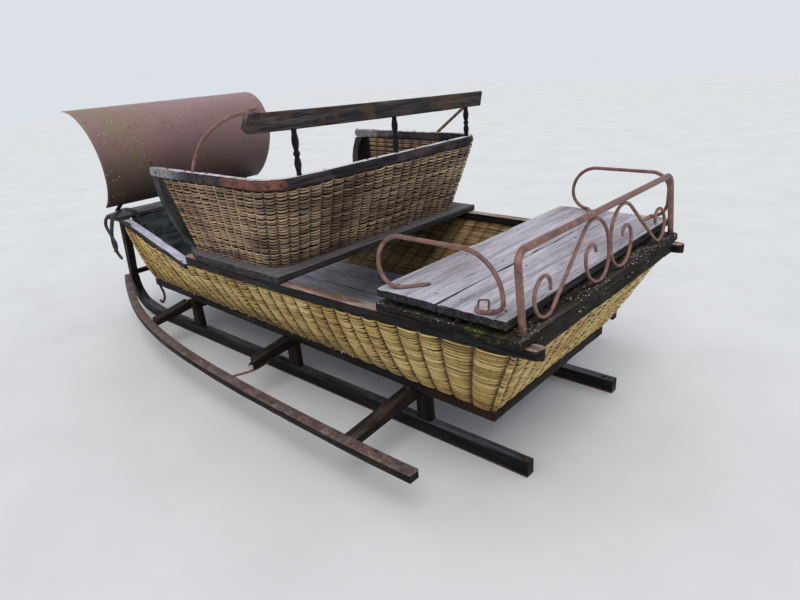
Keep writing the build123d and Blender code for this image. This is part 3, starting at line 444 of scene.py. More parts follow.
def ribbon(path, facing, width, thickness, taper=0.0):
    """Flat strap along a path; facing is the way its wide side looks."""
    profile = ((-1, -0.5), (-0.8, -1), (0.8, -1), (1, -0.5), (1, 0.5), (0.8, 1), (-0.8, 1), (-1, 0.5))
    verts = []
    for i, (p, ahead) in enumerate(zip(path, headings(path))):
        n = Vector(facing)
        n = (n - ahead * n.dot(ahead)).normalized()
        wide = ahead.cross(n) * width / 2 * (1 - taper * i / (len(path) - 1))
        verts += [p + wide * u + n * thickness / 2 * v for u, v in profile]
    return verts, capped(len(path), len(profile))


def dome(centre, radius, height, normal=(0, 0, 1)):
    """Hammered bolt head on a surface."""
    sides, rings = 10, 3
    n = Vector(normal).normalized()
    a = n.orthogonal().normalized()
    b = n.cross(a)
    verts = []
    for t in (r / rings * math.pi / 2 for r in range(rings + 1)):
        for w in (2 * math.pi * k / sides for k in range(sides)):
            verts.append(Vector(centre) + (a * math.cos(w) + b * math.sin(w)) * radius * math.cos(t * 0.94)
                         + n * height * math.sin(t))
    return verts, strips(rings + 1, sides) + [tuple(range(rings * sides, (rings + 1) * sides))]


# ---- CAD nodes that stay: softened edges and finishes
FINISH = (
    # material, width of the worn edge, nodes
    ("runner", 0.0035, "runner_left runner_right"), ("endboard", 0.0035, "seat_end_boards"),
    ("lining", 0.0035, "front_panel"), ("core", 0.001, "tub_side_left tub_side_right tub_rear seat_basket"),
    ("shoe", 0.0015, "runner_shoes"), ("strap", 0.0015, "side_bar_straps"), ("iron", 0.001, "broken_arm_iron"),
    ("bolt", 0.0015, "dash_irons"))
for material, edge, members in FINISH:
    for obj in (NODES[name] for name in members.split()):
        obj.data.materials.clear()
        obj.data.materials.append(MAT[material])
        obj.data.polygons.foreach_set("use_smooth", [True] * len(obj.data.polygons))
        obj.modifiers.new("weld", "WELD").merge_threshold = 0.00002
        plain = obj.modifiers.new("plain", "DECIMATE")
        plain.decimate_type = "DISSOLVE"
        plain.angle_limit = math.radians(0.4)
        bevel = obj.modifiers.new("edge", "BEVEL")
        bevel.width, bevel.segments, bevel.harden_normals = edge, 2, True
        bevel.limit_method = "ANGLE"
        bevel.angle_limit = math.radians(32)


def seat_line(front, rear, half, radius, inset, straight=22, bend=10, back=40):
    """Plan points of the U shaped shell from the left front round to the right front."""
    left = [(front + (rear + radius - front) * i / straight, half - inset) for i in range(straight)]
    left += [(rear + radius - (radius - inset) * math.sin(a), half - radius + (radius - inset) * math.cos(a))
             for a in (math.radians(90 * k / bend) for k in range(bend + 1))]
    rest = [(rear + inset, (half - radius) * (1 - 2 * i / back)) for i in range(1, back)]
    return np.array(left + rest + [(x, -y) for x, y in reversed(left)])


# ---- weathered timber
def solids_of(node):
    """Points and triangles of each solid of a CAD node."""
    mesh = NODES[node].data
    mesh.calc_loop_triangles()
    raw = np.array([v.co[:] for v in mesh.vertices])
    points, index = np.unique(np.round(raw, 6), axis=0, return_inverse=True)
    faces = index.reshape(-1)[np.array([tri.vertices[:] for tri in mesh.loop_triangles])]
    label, before = np.arange(len(points)), None
    while before is None or (label != before).any():
        before = label.copy()
        low = label[faces].min(axis=1)
        for column in range(3):
            np.minimum.at(label, faces[:, column], low)
        label = label[label]
    return [(points, faces[label[faces[:, 0]] == k]) for k in np.unique(label[faces[:, 0]])]


def turn_area(a, b, c):
    """Twice the area of a triangle, positive when it runs counter clockwise."""
    return (b[0] - a[0]) * (c[1] - a[1]) - (b[1] - a[1]) * (c[0] - a[0])


def outline(flat):
    """The four main corners of the convex outline of some flat points, counter clockwise."""
    order = sorted(set(map(tuple, np.round(flat, 6))))
    ring = []
    for seq in (order, order[::-1]):
        line = []
        for p in seq:
            while len(line) > 1 and turn_area(line[-2], line[-1], p) <= 0:
                line.pop()
            line.append(p)
        ring += line[:-1]
    while len(ring) > 4:
        areas = [abs(turn_area(ring[i - 1], ring[i], ring[(i + 1) % len(ring)])) for i in range(len(ring))]
        ring.pop(areas.index(min(areas)))
    ring += ring[-1:] * (4 - len(ring))
    start = min(range(4), key=lambda i: ring[i][0] + ring[i][1])
    return ring[start:] + ring[:start]


def sliced(points, faces, axis, spacing):
    """Four corners of each cross section of a bar, from one end to the other."""
    along = "XYZ".index(axis)
    across = [(along + 1) % 3, (along + 2) % 3]
    used = points[np.unique(faces)][:, along]
    low, high = used.min(), used.max()
    rows = []
    for place in np.linspace(low + 1e-5, high - 1e-5, max(2, int((high - low) / spacing) + 1)):
        cut = []
        for a, b in ((0, 1), (1, 2), (2, 0)):
            p, q = points[faces[:, a]], points[faces[:, b]]
            hit = (p[:, along] - place) * (q[:, along] - place) < 0
            p, q = p[hit], q[hit]
            share = ((place - p[:, along]) / (q[:, along] - p[:, along]))[:, None]
            cut.append((p + (q - p) * share)[:, across])
        row = np.zeros((4, 3))
        row[:, along] = place
        row[:, across] = outline(np.concatenate(cut))
        rows.append(row)
    return np.array(rows)


def walked(points):
    """Distance walked at each point of a line."""
    return np.concatenate([[0], np.cumsum(np.linalg.norm(np.diff(points, axis=0), axis=1))])


def leg_at(marks, at):
    """Number of the leg of a line that holds a distance."""
    return max(min(int(np.searchsorted(marks, at, side="right")) - 1, len(marks) - 2), 0)


def at_distance(rows, marks, at):
    """The row at a distance from the start, between its neighbours."""
    k = leg_at(marks, at)
    share = (at - marks[k]) / max(marks[k + 1] - marks[k], 1e-9)
    return rows[k] * (1 - share) + rows[k + 1] * share


SOFT_REACH = 0.09           # how far along a bar its softer ends reach
ROUND_REACH = 0.021         # sections nearer to a rounded end take their width from the third one


def weathered(rows, pitch=0.007, edge=0.003, wear=0.7, grain=0.0012, crack=0.0015, ends=(0.003, 0.003),
              soft=(0.0, 0.0), seed=0):
    """Timber skin inside the given cross sections: worn edges, grain furrows and rounded ends, cut inward only."""
    marks = walked(rows.mean(axis=1))
    length = marks[-1]
    stops = [(w, 0.0) for w in marks if ends[0] * 1.05 < w < length - ends[1] * 1.05]
    for size, from_start in zip(ends, (True, False)):
        for angle in (math.radians(90 * k / 4) for k in range(5)):
            at = size * (1 - math.cos(angle))
            stops.append((at if from_start else length - at, size * (1 - math.sin(angle))))
    stops.sort()
    mean = rows.mean(axis=0)
    counts = [max(3, int(np.linalg.norm(mean[k] - mean[0]) / pitch)) for k in (1, 3)]
    verts = []
    for at, inset in stops:
        c = at_distance(rows, marks, at)
        wide = max(np.linalg.norm(c[1] - c[0]), 1e-4)
        tall = max(np.linalg.norm(c[3] - c[0]), 1e-4)
        inset = min(inset, 0.42 * wide, 0.42 * tall)
        corners = []
        for j, (sx, sy) in enumerate(((1, 1), (-1, 1), (-1, -1), (1, -1))):
            chip = noise.noise(Vector((at * 7.0, j * 3.7, seed)))
            chip += 0.5 * noise.noise(Vector((at * 31.0, j * 5.1, seed)))
            r = edge * (1 + wear * 3.0 * max(0.0, chip - 0.1))
            r += soft[0] * max(0.0, 1 - at / SOFT_REACH) + soft[1] * max(0.0, 1 - (length - at) / SOFT_REACH)
            r = max(min(r, 0.4 * wide - 0.9 * inset, 0.4 * tall - 0.9 * inset), 1e-5)
            hub_x = (inset if sx > 0 else wide - inset) + sx * r
            hub_y = (inset if sy > 0 else tall - inset) + sy * r
            turns = [math.radians(180 + 90 * j + 30 * step) for step in range(4)]
            corners.append([(hub_x + nx * r, hub_y + ny * r, nx, ny)
                            for nx, ny in ((math.cos(a), math.sin(a)) for a in turns)])
        ring = []
        for j, (nx, ny) in enumerate(((0, -1), (1, 0), (0, 1), (-1, 0))):
            a, b, many = corners[j][-1], corners[(j + 1) % 4][0], counts[j % 2]
            ring += corners[j]
            ring += [(a[0] + (b[0] - a[0]) * k / many, a[1] + (b[1] - a[1]) * k / many, nx, ny) for k in range(1, many)]
        for x, y, nx, ny in ring:
            rough = noise.noise(Vector((at * 9.0 + seed * 1.7, x * 95.0, y * 95.0)))
            wave = noise.noise(Vector((at * 3.0, x * 9.0 + seed, y * 9.0)))
            slit = noise.noise(Vector((at * 4.0, x * 60.0 + 3.1 * seed, y * 60.0 + 9.0)))
            depth = grain * (0.5 + 0.6 * rough) + grain * 0.6 * (0.5 + wave)
            depth += crack * min(1.0, max(0.0, (slit - 0.28) / 0.12))
            depth = min(max(depth, 0.0), 0.3 * min(wide, tall))
            u, v = (x - nx * depth) / wide, (y - ny * depth) / tall
            verts.append(c[0] * (1 - u) * (1 - v) + c[1] * u * (1 - v) + c[2] * u * v + c[3] * (1 - u) * v)
    size = len(ring)
    faces = strips(len(stops), size)
    for start, flip in ((0, True), (len(verts) - size, False)):
        verts.append(np.mean(verts[start:start + size], axis=0))
        for a, b in ((start + k, start + (k + 1) % size) for k in range(size)):
            faces.append((b, a, len(verts) - 1) if flip else (a, b, len(verts) - 1))
    return verts, faces


def rounded_end(rows, radius, at_start, columns=(1,)):
    """Rounds one end of a bar in plan (column 1) or in side view (column 2)."""
    rows = rows if at_start else rows[::-1]
    marks = walked(rows.mean(axis=1))
    stops = [radius * (1 - math.cos(math.radians(90 * k / 7))) for k in range(8)]
    made = []
    for at in stops + [w for w in marks if w > 1.1 * radius]:
        row = at_distance(rows, marks, at)
        if at < ROUND_REACH:
            full = rows[min(2, len(rows) - 1)]
            narrow = 0.08 + 0.92 * math.sqrt(max(0.0, 1 - max(0.0, 1 - at / radius) ** 2))
            for column in columns:
                row[:, column] = row[:, column].mean() + (full[:, column] - full[:, column].mean()) * narrow
        made.append(row)
    return np.array(made if at_start else made[::-1])


def timber(node, axis, material, slot_name, spacing=0.02, widen=(0.0, 0.0), tongue=(0.0, 0.0), **ways):
    """Weathered skin in place of every solid of a node. widen moves its rear and front side, tongue rounds its ends."""
    parts = []
    for k, (points, faces) in enumerate(solids_of(node)):
        rows = sliced(points, faces, axis, spacing)
        rows[:, :, 0] += np.where(rows[:, :, 0] < rows[:, :, 0].mean(), -widen[0], widen[1])
        for radius, at_start in zip(tongue, (True, False)):
            if radius:
                rows = rounded_end(rows, radius, at_start)
        parts.append(weathered(rows, seed=len(node) + 3 * k, **ways))
    piece("worn_" + node, *joined(parts), material, slot_name, [node])


OLD = dict(crack=0.002, wear=0.9)
RAIL = dict(edge=0.006, wear=1.0, crack=0.0025, ends=(0.004, 0.004), tongue=(0.021, 0.019), soft=(0.008, 0.003))
FRONT_RAIL = dict(edge=0.004, ends=(0.003, 0.004), crack=0.002, tongue=(0.022, 0.0))
BOARD = dict(edge=0.002, wear=0.8, grain=0.0008, crack=0.0022)
TIMBERS = {
    "dark_timber": (
        ("sill_left sill_right", "X", "darkX", OLD),
        ("sill_front sill_rear cross_beam_front cross_beam_middle cross_beam_rear", "Y", "darkY", OLD),
        ("knees", "Z", "darkZ", OLD),
        ("side_arms", "Y", "darkY", OLD),
        ("broken_side_arm", "Y", "darkY", dict(spacing=0.006, crack=0.006, grain=0.002, ends=(0.003, 0.001))),
        ("side_bar_left side_bar_right", "X", "darkX", {}),
        ("nose_posts", "Z", "darkZ", {}),
        ("nose_crossbar", "Y", "darkY", dict(edge=0.010, ends=(0.006, 0.006))),
        ("floor_bearers", "Y", "darkY", dict(pitch=0.014, spacing=0.05))),
    "worn_timber": (
        ("tub_rail_left tub_rail_right", "X", "railX", RAIL),
        ("tub_rail_rear", "Y", "base", dict(edge=0.005, crack=0.0025)),
        ("bench_battens", "X", "darkX", {}),
        ("bench_base", "Y", "base", dict(pitch=0.012, edge=0.005, wear=1.2, grain=0.0016, crack=0.003)),
        ("seat_board", "Y", "seat_board", dict(pitch=0.012, wear=1.0, crack=0.002)),
        ("seat_stiles", "Z", "stile", dict(wear=1.0)),
        ("back_rail", "Y", "back_rail", dict(wear=1.0, crack=0.0025, ends=(0.006, 0.006)))),
    "grey_plank": (
        ("front_rail_left front_rail_right", "X", "front_rail", FRONT_RAIL),
        ("bench_board_rear", "Y", "plank", dict(widen=(0.0, 0.0022), **BOARD)),
        ("bench_board_front", "Y", "plank", dict(widen=(0.0022, 0.0), **BOARD)),
        ("nose_plank", "Y", "nose_plank", dict(edge=0.006, ends=(0.010, 0.010))),
        ("tub_floor", "X", "floor", dict(pitch=0.012, spacing=0.04, edge=0.002)))}
for slot_name, table in TIMBERS.items():
    for names, axis, material, ways in table:
        for name in names.split():
            timber(name, axis, material, slot_name, **ways)

RIM = (0.362, -0.458, 0.608, 0.122)     # front, rear, half width and corner radius
RIM_LOW, RIM_TOP, RIM_WIDTH = 0.918, 0.958, 0.026
RIM_MIDDLE = (RIM_LOW + RIM_TOP) / 2
rows = np.array([((ox, oy, RIM_LOW), (ix, iy, RIM_LOW), (ix, iy, RIM_TOP), (ox, oy, RIM_TOP)) for (ox, oy), (ix, iy)
                 in zip(seat_line(*RIM, 0.0, 40, 12, 60), seat_line(*RIM, RIM_WIDTH, 40, 12, 60))])
rows = rounded_end(rounded_end(rows, 0.019, True, (1, 2)), 0.019, False, (1, 2))
piece("worn_rim", *weathered(rows, pitch=0.005, edge=0.004, wear=1.2, ends=(0.002, 0.002), soft=(0.007, 0.007), seed=5),
      "rim", "worn_timber", ["seat_rim"])


# ---- wicker
def smooth_step(value, low, high):
    share = np.clip((value - low) / (high - low), 0, 1)
    return share * share * (3 - 2 * share)


def between(rows, place):
    """Rows of an array at places between its whole numbers."""
    low = np.clip(np.floor(place).astype(int), 0, len(rows) - 2)
    share = np.reshape(place - low, np.shape(place) + (1,) * (rows.ndim - 1))
    return rows[low] * (1 - share) + rows[low + 1] * share


def weave(name, grid, outward, ribs, rows, bulge, material, per_rib=6, across=4, seed=1, strand=0.0022,
          fill=0.54, valley_shade=0.35, dark_share=0.25, foot=0.5, head=0.6, foot_darkening=0.5, wander=0.12, sag=0.0,
          spread=0.24, extra_darkening=None, ragged=0.25):
    """Strands that arch over each stake. grid holds surface points [stake][level] from the foot up and
    outward their unit normals. The value of each strand is stored on its points, with painted shade in the valleys
    between the stakes and a painted highlight and shade across each strand; the weave is darker towards its foot."""
    rng = np.random.default_rng(seed)
    count, levels = grid.shape[:2]
    u = np.linspace(0, ribs, ribs * per_rib + 1)
    by_level = between(grid, u / ribs * (count - 1)).swapaxes(0, 1)
    normal_by_level = between(outward, u / ribs * (count - 1)).swapaxes(0, 1)
    phase = u - np.floor(u)
    arch = np.clip(1 - np.abs(2 * phase - 1) ** 2.4, 0, 1) ** 0.5
    rib_of = np.minimum(np.floor(u).astype(int), ribs - 1)
    rib_size = 1 + 0.3 * (rng.random(ribs) - 0.5)
    rib_tone = 0.12 * rng.standard_normal(ribs)
    level = np.linspace(0, levels - 1, rows + 1)
    angles = np.radians(np.linspace(-84, 84, across))
    # painted highlight and shade across each strand: brightest on one side, dark at its edges
    light = 0.16 + 0.84 * np.maximum(0, np.cos(angles - 0.6)) ** 1.6
    knots = np.arange(ribs + 1)
    marks = np.linspace(0, ribs, max(3, ribs // 4))
    cloud = np.empty((rows, len(u), across, 3))
    tone_and_shade = np.empty((rows, len(u), across))
    for r in range(rows):
        height = (r + 0.5) / rows
        middle = (level[r] + level[r + 1]) / 2 + 0.15 * (rng.random() - 0.5)
        middle = min(max(middle, 0.0), levels - 1.001)
        point, normal = between(by_level, middle), between(normal_by_level, middle)
        rise = by_level[int(middle) + 1] - by_level[int(middle)]
        reach = np.linalg.norm(rise, axis=1, keepdims=True)
        size = reach * (levels - 1) / rows
        ends = min(foot + (1 - foot) * float(smooth_step(height, 0.0, 0.14)),
                   head + (1 - head) * float(smooth_step(1 - height, 0.0, 0.12)))
        shift = wander * np.interp(u, knots, rng.standard_normal(ribs + 1))
        loose = 0.5 * strand * np.interp(u, knots, rng.random(ribs + 1))
        lift = bulge * ends * arch * rib_size[rib_of] + loose
        shift = shift - sag * (arch - 0.5)
        thick = strand * (0.85 + 0.4 * rng.random())
        uneven = 1 + ragged * np.interp(u, knots, rng.random(ribs + 1) - 0.5)
        half = size * fill * (0.92 + 0.14 * rng.random()) * uneven[:, None]
        for k, a in enumerate(angles):
            cloud[r, :, k] = (point + normal * (lift[:, None] + thick * (math.cos(a) - 0.3))
                              + rise / reach * (half * math.sin(a) + size * shift[:, None]))
        drift = np.interp(np.arange(ribs), marks, rng.random(len(marks)))
        dark = np.interp(np.arange(ribs), marks, rng.random(len(marks))) < dark_share
        row_tone_and_shade = 0.66 + spread * 2 * (drift - 0.5) + 0.14 * (rng.random(ribs) - 0.5) + 0.5 * rib_tone
        row_tone_and_shade = np.where(dark, 0.55, 1.0) * row_tone_and_shade
        # painted shade: strands are darker in the valleys at the stakes, where the arch is low
        row_tone_and_shade = row_tone_and_shade[rib_of] * (valley_shade + (1 - valley_shade) * arch ** 0.6)
        # the weave is made darker towards its foot
        row_tone_and_shade *= foot_darkening + (1 - foot_darkening) * float(smooth_step(height, 0.0, 0.16))
        if extra_darkening is not None:
            row_tone_and_shade *= extra_darkening(point, height)
        tone_and_shade[r] = row_tone_and_shade[:, None] * light[None, :]
    base = (np.arange(rows)[:, None] * len(u) + np.arange(len(u) - 1)[None, :]).reshape(-1, 1) * across
    corner = (base + np.arange(across - 1)[None, :]).reshape(-1, 1)
    faces = (corner + np.array([0, across, across + 1, 1])[None, :]).tolist()
    piece(name, cloud.reshape(-1, 3), faces, material, "wicker", tone_and_shade=np.clip(tone_and_shade, 0, 1).reshape(-1))


def stakes(name, grid, outward, ribs, chosen, radius, lift, material, seed):
    """Thin stakes that show in the valleys between the arches."""
    rng = random.Random(seed)
    parts, tones = [], []
    for place in (rib / ribs * (len(grid) - 1) for rib in chosen):
        skin = zip(between(grid, place), between(outward, place))
        parts.append(tube([p + n * (lift + 0.001 * rng.random()) for p, n in skin], radius, 6))
        tones += [0.55 + 0.45 * rng.random()] * len(parts[-1][0])
    piece(name, *joined(parts), material, "wicker", tone_and_shade=tones)


def normals_of(grid, centre):
    """Unit normals of a grid of points, turned away from the centre."""
    n = np.cross(np.gradient(grid, axis=0), np.gradient(grid, axis=1))
    n /= np.maximum(np.linalg.norm(n, axis=2, keepdims=True), 1e-9)
    flip = np.sign((n * (grid - np.array(centre))).sum(axis=2, keepdims=True))
    return n * np.where(flip == 0, 1, flip)


def grid_of(x, y, z):
    return np.stack(np.broadcast_arrays(x, y, z), axis=2)


def tree_of(node):
    mesh = NODES[node].data
    return BVHTree.FromPolygons([v.co.copy() for v in mesh.vertices], [tuple(p.vertices) for p in mesh.polygons])


FOOT_Z, HEAD_Z = 0.2485, 0.5525
FIRST_STAKE, LAST_STAKE = -1.1635, 1.1095
FRONT_RAIL_X, FRONT_LOW, FRONT_CLIMB = 0.246, 0.5225, 0.055 / 0.866
# place of a stake's foot, and how far its head stands in front of it
STAKE_LEAN = ((-1.175, -0.170), (-1.013, -0.085), (-0.78, -0.07), (-0.51, -0.118), (0.0, -0.15), (0.27, -0.177),
              (0.8, -0.10), (1.112, 0.0))


def side_grid(node, side, inside, stations=61, levels=14):
    """Points on one side of the tub, found on the CAD surface along stakes that lean back."""
    tree = tree_of(node)
    points = np.zeros((stations, levels, 3))
    for i in range(stations):
        x_foot = FIRST_STAKE + (LAST_STAKE - FIRST_STAKE) * i / (stations - 1)
        lean = float(np.interp(x_foot, *zip(*STAKE_LEAN)))
        x_head = x_foot + lean
        top = HEAD_Z if x_head < FRONT_RAIL_X + 0.002 else FRONT_LOW + (x_head - FRONT_RAIL_X) * FRONT_CLIMB
        for k in range(levels):
            t = k / (levels - 1)
            x, z = x_foot + lean * t, FOOT_Z + (top - FOOT_Z) * t
            start = Vector((x, side * (0.0 if inside else 1.0), z))
            hit = tree.ray_cast(start, Vector((0, side if inside else -side, 0)))[0]
            points[i, k] = hit or (x, (points[i, k - 1] if k else points[i - 1, k])[1], z)
    if inside:
        return points
    corner = [points[0] + np.array((x, -side * y, 0)) for x, y in ((-0.005, 0.020), (-0.006, 0.003))]
    return np.concatenate([corner, points])


def low_middle_darkening(point, height):
    """The weave is made darker low down along its middle and stays pale near the rear."""
    dark = smooth_step(point[:, 0], -0.95, -0.45) * (1 - float(smooth_step(height, 0.05, 0.62)))
    spots = np.array([noise.noise(Vector(p) * 9.0) for p in point])
    return np.clip(1 - 0.62 * dark - 0.25 * np.clip(spots, 0, 1), 0.25, 1)


TUB_WALL = dict(per_rib=8, across=5, strand=0.0036, fill=0.37, valley_shade=0.12, dark_share=0.10, foot_darkening=0.65, wander=0.26,
                sag=0.5, spread=0.34, ragged=0.7)
for side, word in ((1, "left"), (-1, "right")):
    grid = side_grid("tub_side_" + word, side, False)
    normals = normals_of(grid, (-0.2, 0, 0.4))
    weave("tub_weave_" + word, grid, normals, 31, 38, 0.0100, "straw", seed=11 + side, extra_darkening=low_middle_darkening, **TUB_WALL)
    stakes("tub_stakes_" + word, grid, normals, 31, range(8, 27), 0.0017, 0.0016, "straw", 5)
    grid = side_grid("tub_side_" + word, side, True)
    weave("tub_weave_inner_" + word, grid, normals_of(grid, (-0.2, side * 9, 0.4)), 30, 50, 0.004, "straw_in",
          per_rib=5, across=3, seed=21 + side)

z = np.linspace(FOOT_Z, HEAD_Z, 10)
climb = (z - 0.242) / 0.311
x, y = -1.165 - 0.175 * climb, np.linspace(-1, 1, 27)[:, None] * (0.390 + 0.156 * climb - 0.014)
grid = grid_of(x, y, z)
weave("rear_weave", grid, normals_of(grid, (0, 0, 0.4)), 13, 38, 0.0085, "straw", seed=31, **TUB_WALL)
grid = grid_of(x + 0.016, y * 0.985, z)
weave("rear_weave_inner", grid, normals_of(grid, (-9, 0, 0.4)), 13, 50, 0.003, "straw_in", per_rib=5, across=3, seed=32)

# The driver's seat: woven shell between the board and the rim.
SEAT_FOOT = (0.190, -0.350, 0.545, 0.100)
SEAT_HEAD = (0.252, -0.452, 0.602, 0.116)
SEAT_LOW, SEAT_HEIGHT = 0.6205, 0.297
SEAT_RIBS, SEAT_ROWS, SEAT_MIDDLE = 46, 27, (-0.05, 0, 0.76)


def seat_grid(inset, levels=9):
    share = np.linspace(0, 1, levels)
    foot, head = (seat_line(*plan, inset).T[:, :, None] for plan in (SEAT_FOOT, SEAT_HEAD))
    return grid_of(*(foot * (1 - share) + head * share), SEAT_LOW + SEAT_HEIGHT * share)


grid = seat_grid(0.0)
normals = normals_of(grid, SEAT_MIDDLE)
weave("seat_weave", grid, normals, SEAT_RIBS, SEAT_ROWS, 0.0055, "seat_weave", per_rib=8, across=5, seed=41,
      strand=0.0040, fill=0.38, valley_shade=0.42, dark_share=0.08, foot=0.8, head=0.8, foot_darkening=0.75, wander=0.13,
      sag=0.35, spread=0.32, ragged=0.5)
sides_only = [rib for rib in range(1, SEAT_RIBS) if rib < 11 or rib > 35]
stakes("seat_stakes", grid, normals, SEAT_RIBS, sides_only, 0.0020, 0.0042, "seat_weave", 6)
grid = seat_grid(0.016)
weave("seat_weave_inner", grid, -normals_of(grid, SEAT_MIDDLE), SEAT_RIBS, SEAT_ROWS, 0.003, "seat_weave", per_rib=4,
      across=3, seed=42, strand=0.0036, fill=0.42, valley_shade=0.3, dark_share=0.15, foot=0.8, head=0.8)


# ---- wrought iron of the bench and the seat
LEAN = math.radians(5.0)
HOOP_X, HOOP_HALF, HOOP_BEND = -1.3575, 0.539, 0.038
HOOP_PLANE = (HOOP_X, 0, 0.621), (0, 1, 0), (math.sin(LEAN), 0, math.cos(LEAN))
hoop = drawn((HOOP_HALF, -0.0005), 90.0, (
    (0, 0.1845), (HOOP_BEND, 90.0), (0, 1.002), (HOOP_BEND, 90.0), (0, 0.1845)))
piece("back_hoop", *tube(placed(hoop, *HOOP_PLANE), 0.0106, 16, 5, 0.03), "iron", "rusty_iron", ["bench_back_hoop"])

SCROLL_RISE, SCROLL_RADIUS = 0.2002, 0.0058      # room between base and upper run of the hoop, radius of the rod
climb = (SCROLL_RISE - (0.059 + 0.100) * (1 - math.cos(math.radians(39)))) / math.sin(math.radians(141))
scroll = drawn((0, 0), 117.0, (
    (0.034, -117.0), (0.057, -90.0), (0.059, -90.0), (0.059, -39.0), (0, climb), (0.100, 39.0), (0.103, 90.0),
    (0, SCROLL_RISE - 0.180), (0.077, 90.0), (0.084, 90.0), (0.042, 90.0), (0.028, 95.0)))
inner, foot = min(p.x for p in scroll) - 0.00685, min(p.y for p in scroll) - SCROLL_RADIUS


def tapered(t):
    """Scroll ends are drawn out a little thinner."""
    size = 0.82 + 0.18 * min(1.0, min(t, 1 - t) / 0.05)
    return size, size


parts = []
for side in (1, -1):
    flat = [Vector((side * (p.x - inner), p.y - foot)) for p in scroll]
    parts.append(tube(placed(flat, *HOOP_PLANE), SCROLL_RADIUS, 12, 7 + side, 0.05, tapered))
piece("back_scrolls", *joined(parts), "iron", "rusty_iron", ["bench_scrolls"])

BOARD_TOP, ARM_Y, ARM_RADIUS = 0.668, 0.556, 0.0067
ARM_CURL = ((0.0, 0.003, 0.0), (0.006, 0.013, 0.0), (0.024, 0.019, -0.001), (0.044, 0.014, -0.002),
            (0.056, 0.0, -0.003))


def hammered_foot(start, run, legs=14, sides=14):
    """End of an armrest that is hammered flat and turned in onto a board."""
    line = [start + run * (k / legs) - Vector((0, 0, 0.004 * min(1, 3 * k / legs))) for k in range(legs + 1)]
    verts, faces = tube(line, ARM_RADIUS, sides, 3, 0.03)
    ahead = run.normalized()
    sideways = Vector((-ahead.y, ahead.x, 0))
    shaped = []
    for index, p in enumerate(verts):
        t, centre = (index // sides) / legs, line[index // sides]
        wide = (1 + min(1, 2.2 * t)) * (1 - 2.25 * max(0, t - 0.8))
        thin = 1 - 0.62 * min(1, 2.5 * t)
        shaped.append(centre + sideways * (p - centre).dot(sideways) * wide + Vector((0, 0, (p - centre).z * thin)))
    return shaped, faces


def armrest(word, side, foot_x, steps, feet, curl=()):
    """Bent rod on one side of the bench. feet are the runs of its flat ends, curl the course of a free rear end."""
    path = lengthwise(drawn((foot_x, BOARD_TOP + 0.0065), 0.0, steps), side * ARM_Y)
    parts = [tube(path, ARM_RADIUS, 14, 9 + side, 0.05)]
    if curl:
        course = curve_through([path[-2] * 2 - path[-3]] + [path[-1] + Vector(step) for step in curl], 5)
        parts.append(tube(course, 0.0066, 14, 4, 0.05,
                          lambda f: (1 + 0.5 * max(0, f - 0.6), 1 - 0.9 * max(0, f - 0.6))))
    for end, (x, y) in zip((path[0], path[-1]), feet):
        parts.append(hammered_foot(end, Vector((x, side * y, 0))))
    piece("arm_loop_" + word, *joined(parts), "iron", "rusty_iron", ["armrest_" + word])


armrest("left", 1, -0.934, ((0.065, 90.0), (0.095, 90.0), (0, 0.215), (0.130, 90.0), (0.030, 90.0)),
        ((-0.062, -0.088),), ARM_CURL)
armrest("right", -1, -1.014, ((0.069, 90.0), (0.100, 90.0), (0, 0.219), (0.067, 90.0), (0, 0.042), (0.060, 90.0)),
        ((-0.062, -0.088), (0.010, -0.072)))

# Small plate with a raised border under the left armrest's rear end.
PLATE_AT, PLATE_LONG, PLATE_WIDE = Vector((-1.228, 0.528, BOARD_TOP)), Vector((-0.54, 0.84, 0)), Vector((0.84, 0.54, 0))
PLATE_CORNERS = ((-1, -0.8), (-0.8, -1), (0.8, -1), (1, -0.8), (1, 0.8), (0.8, 1), (-0.8, 1), (-1, 0.8))
PLATE_RINGS = ((1.0, 0.0), (1.0, 0.0028), (0.96, 0.0036), (0.86, 0.0036), (0.82, 0.0018))     # share, rise
verts = [PLATE_AT + PLATE_LONG * u * 0.044 * share + PLATE_WIDE * v * (0.0165 - 0.028 * (1 - share))
         + Vector((0, 0, rise)) for share, rise in PLATE_RINGS for u, v in PLATE_CORNERS]
faces = strips(len(PLATE_RINGS), 8) + [tuple(range(len(verts) - 8, len(verts)))]
plate = piece("arm_plate", verts, faces, "bolt", "rusty_iron", smooth=False)
plate.data.materials.append(MAT["pale_iron"])
plate.data.polygons[len(faces) - 1].material_index = 1

# Arm rods of the driver's seat, from the rim to the back rail, which is tilted and bends forward to its ends.
TILT = math.radians(1.7)
ROD_Y, ROD_RADIUS, ROD_FOOT, BACK_X, RAIL_LOW, RAIL_HEIGHT = 0.595, 0.0072, RIM_TOP - 0.003, -0.445, 1.094, 0.063
LEFT_X, RIGHT_X, ROD_BEND = 0.035, -0.205, 0.350
left_top = RAIL_LOW + ROD_Y * math.tan(TILT) + RAIL_HEIGHT / math.cos(TILT) + 0.007
rail_end = BACK_X + 0.030 * (ROD_Y / 0.655) ** 2
steep, slack = math.radians(118), math.radians(150)
second_bend = (left_top - RIM_TOP - ROD_BEND * (math.cos(steep) - math.cos(slack))) / (1 + math.cos(slack))
reach = ROD_BEND * (math.sin(steep) - math.sin(slack)) + second_bend * math.sin(slack)
left_rod = drawn((LEFT_X, ROD_FOOT), 118.0, (
    (ROD_BEND, 32.0), (second_bend, 30.0), (0, LEFT_X - reach - rail_end + 0.010)))
right_rod = drawn((RIGHT_X, ROD_FOOT), 144.0, ((0, (rail_end - RIGHT_X) / math.cos(math.radians(144)) - 0.016),))
piece("seat_rods", *joined([tube(lengthwise(left_rod, ROD_Y), ROD_RADIUS, 14, 3, 0.04),
                            tube(lengthwise(right_rod, -ROD_Y), ROD_RADIUS, 14, 4, 0.04)]),
      "iron", "rusty_iron", ["back_arm_rods"])
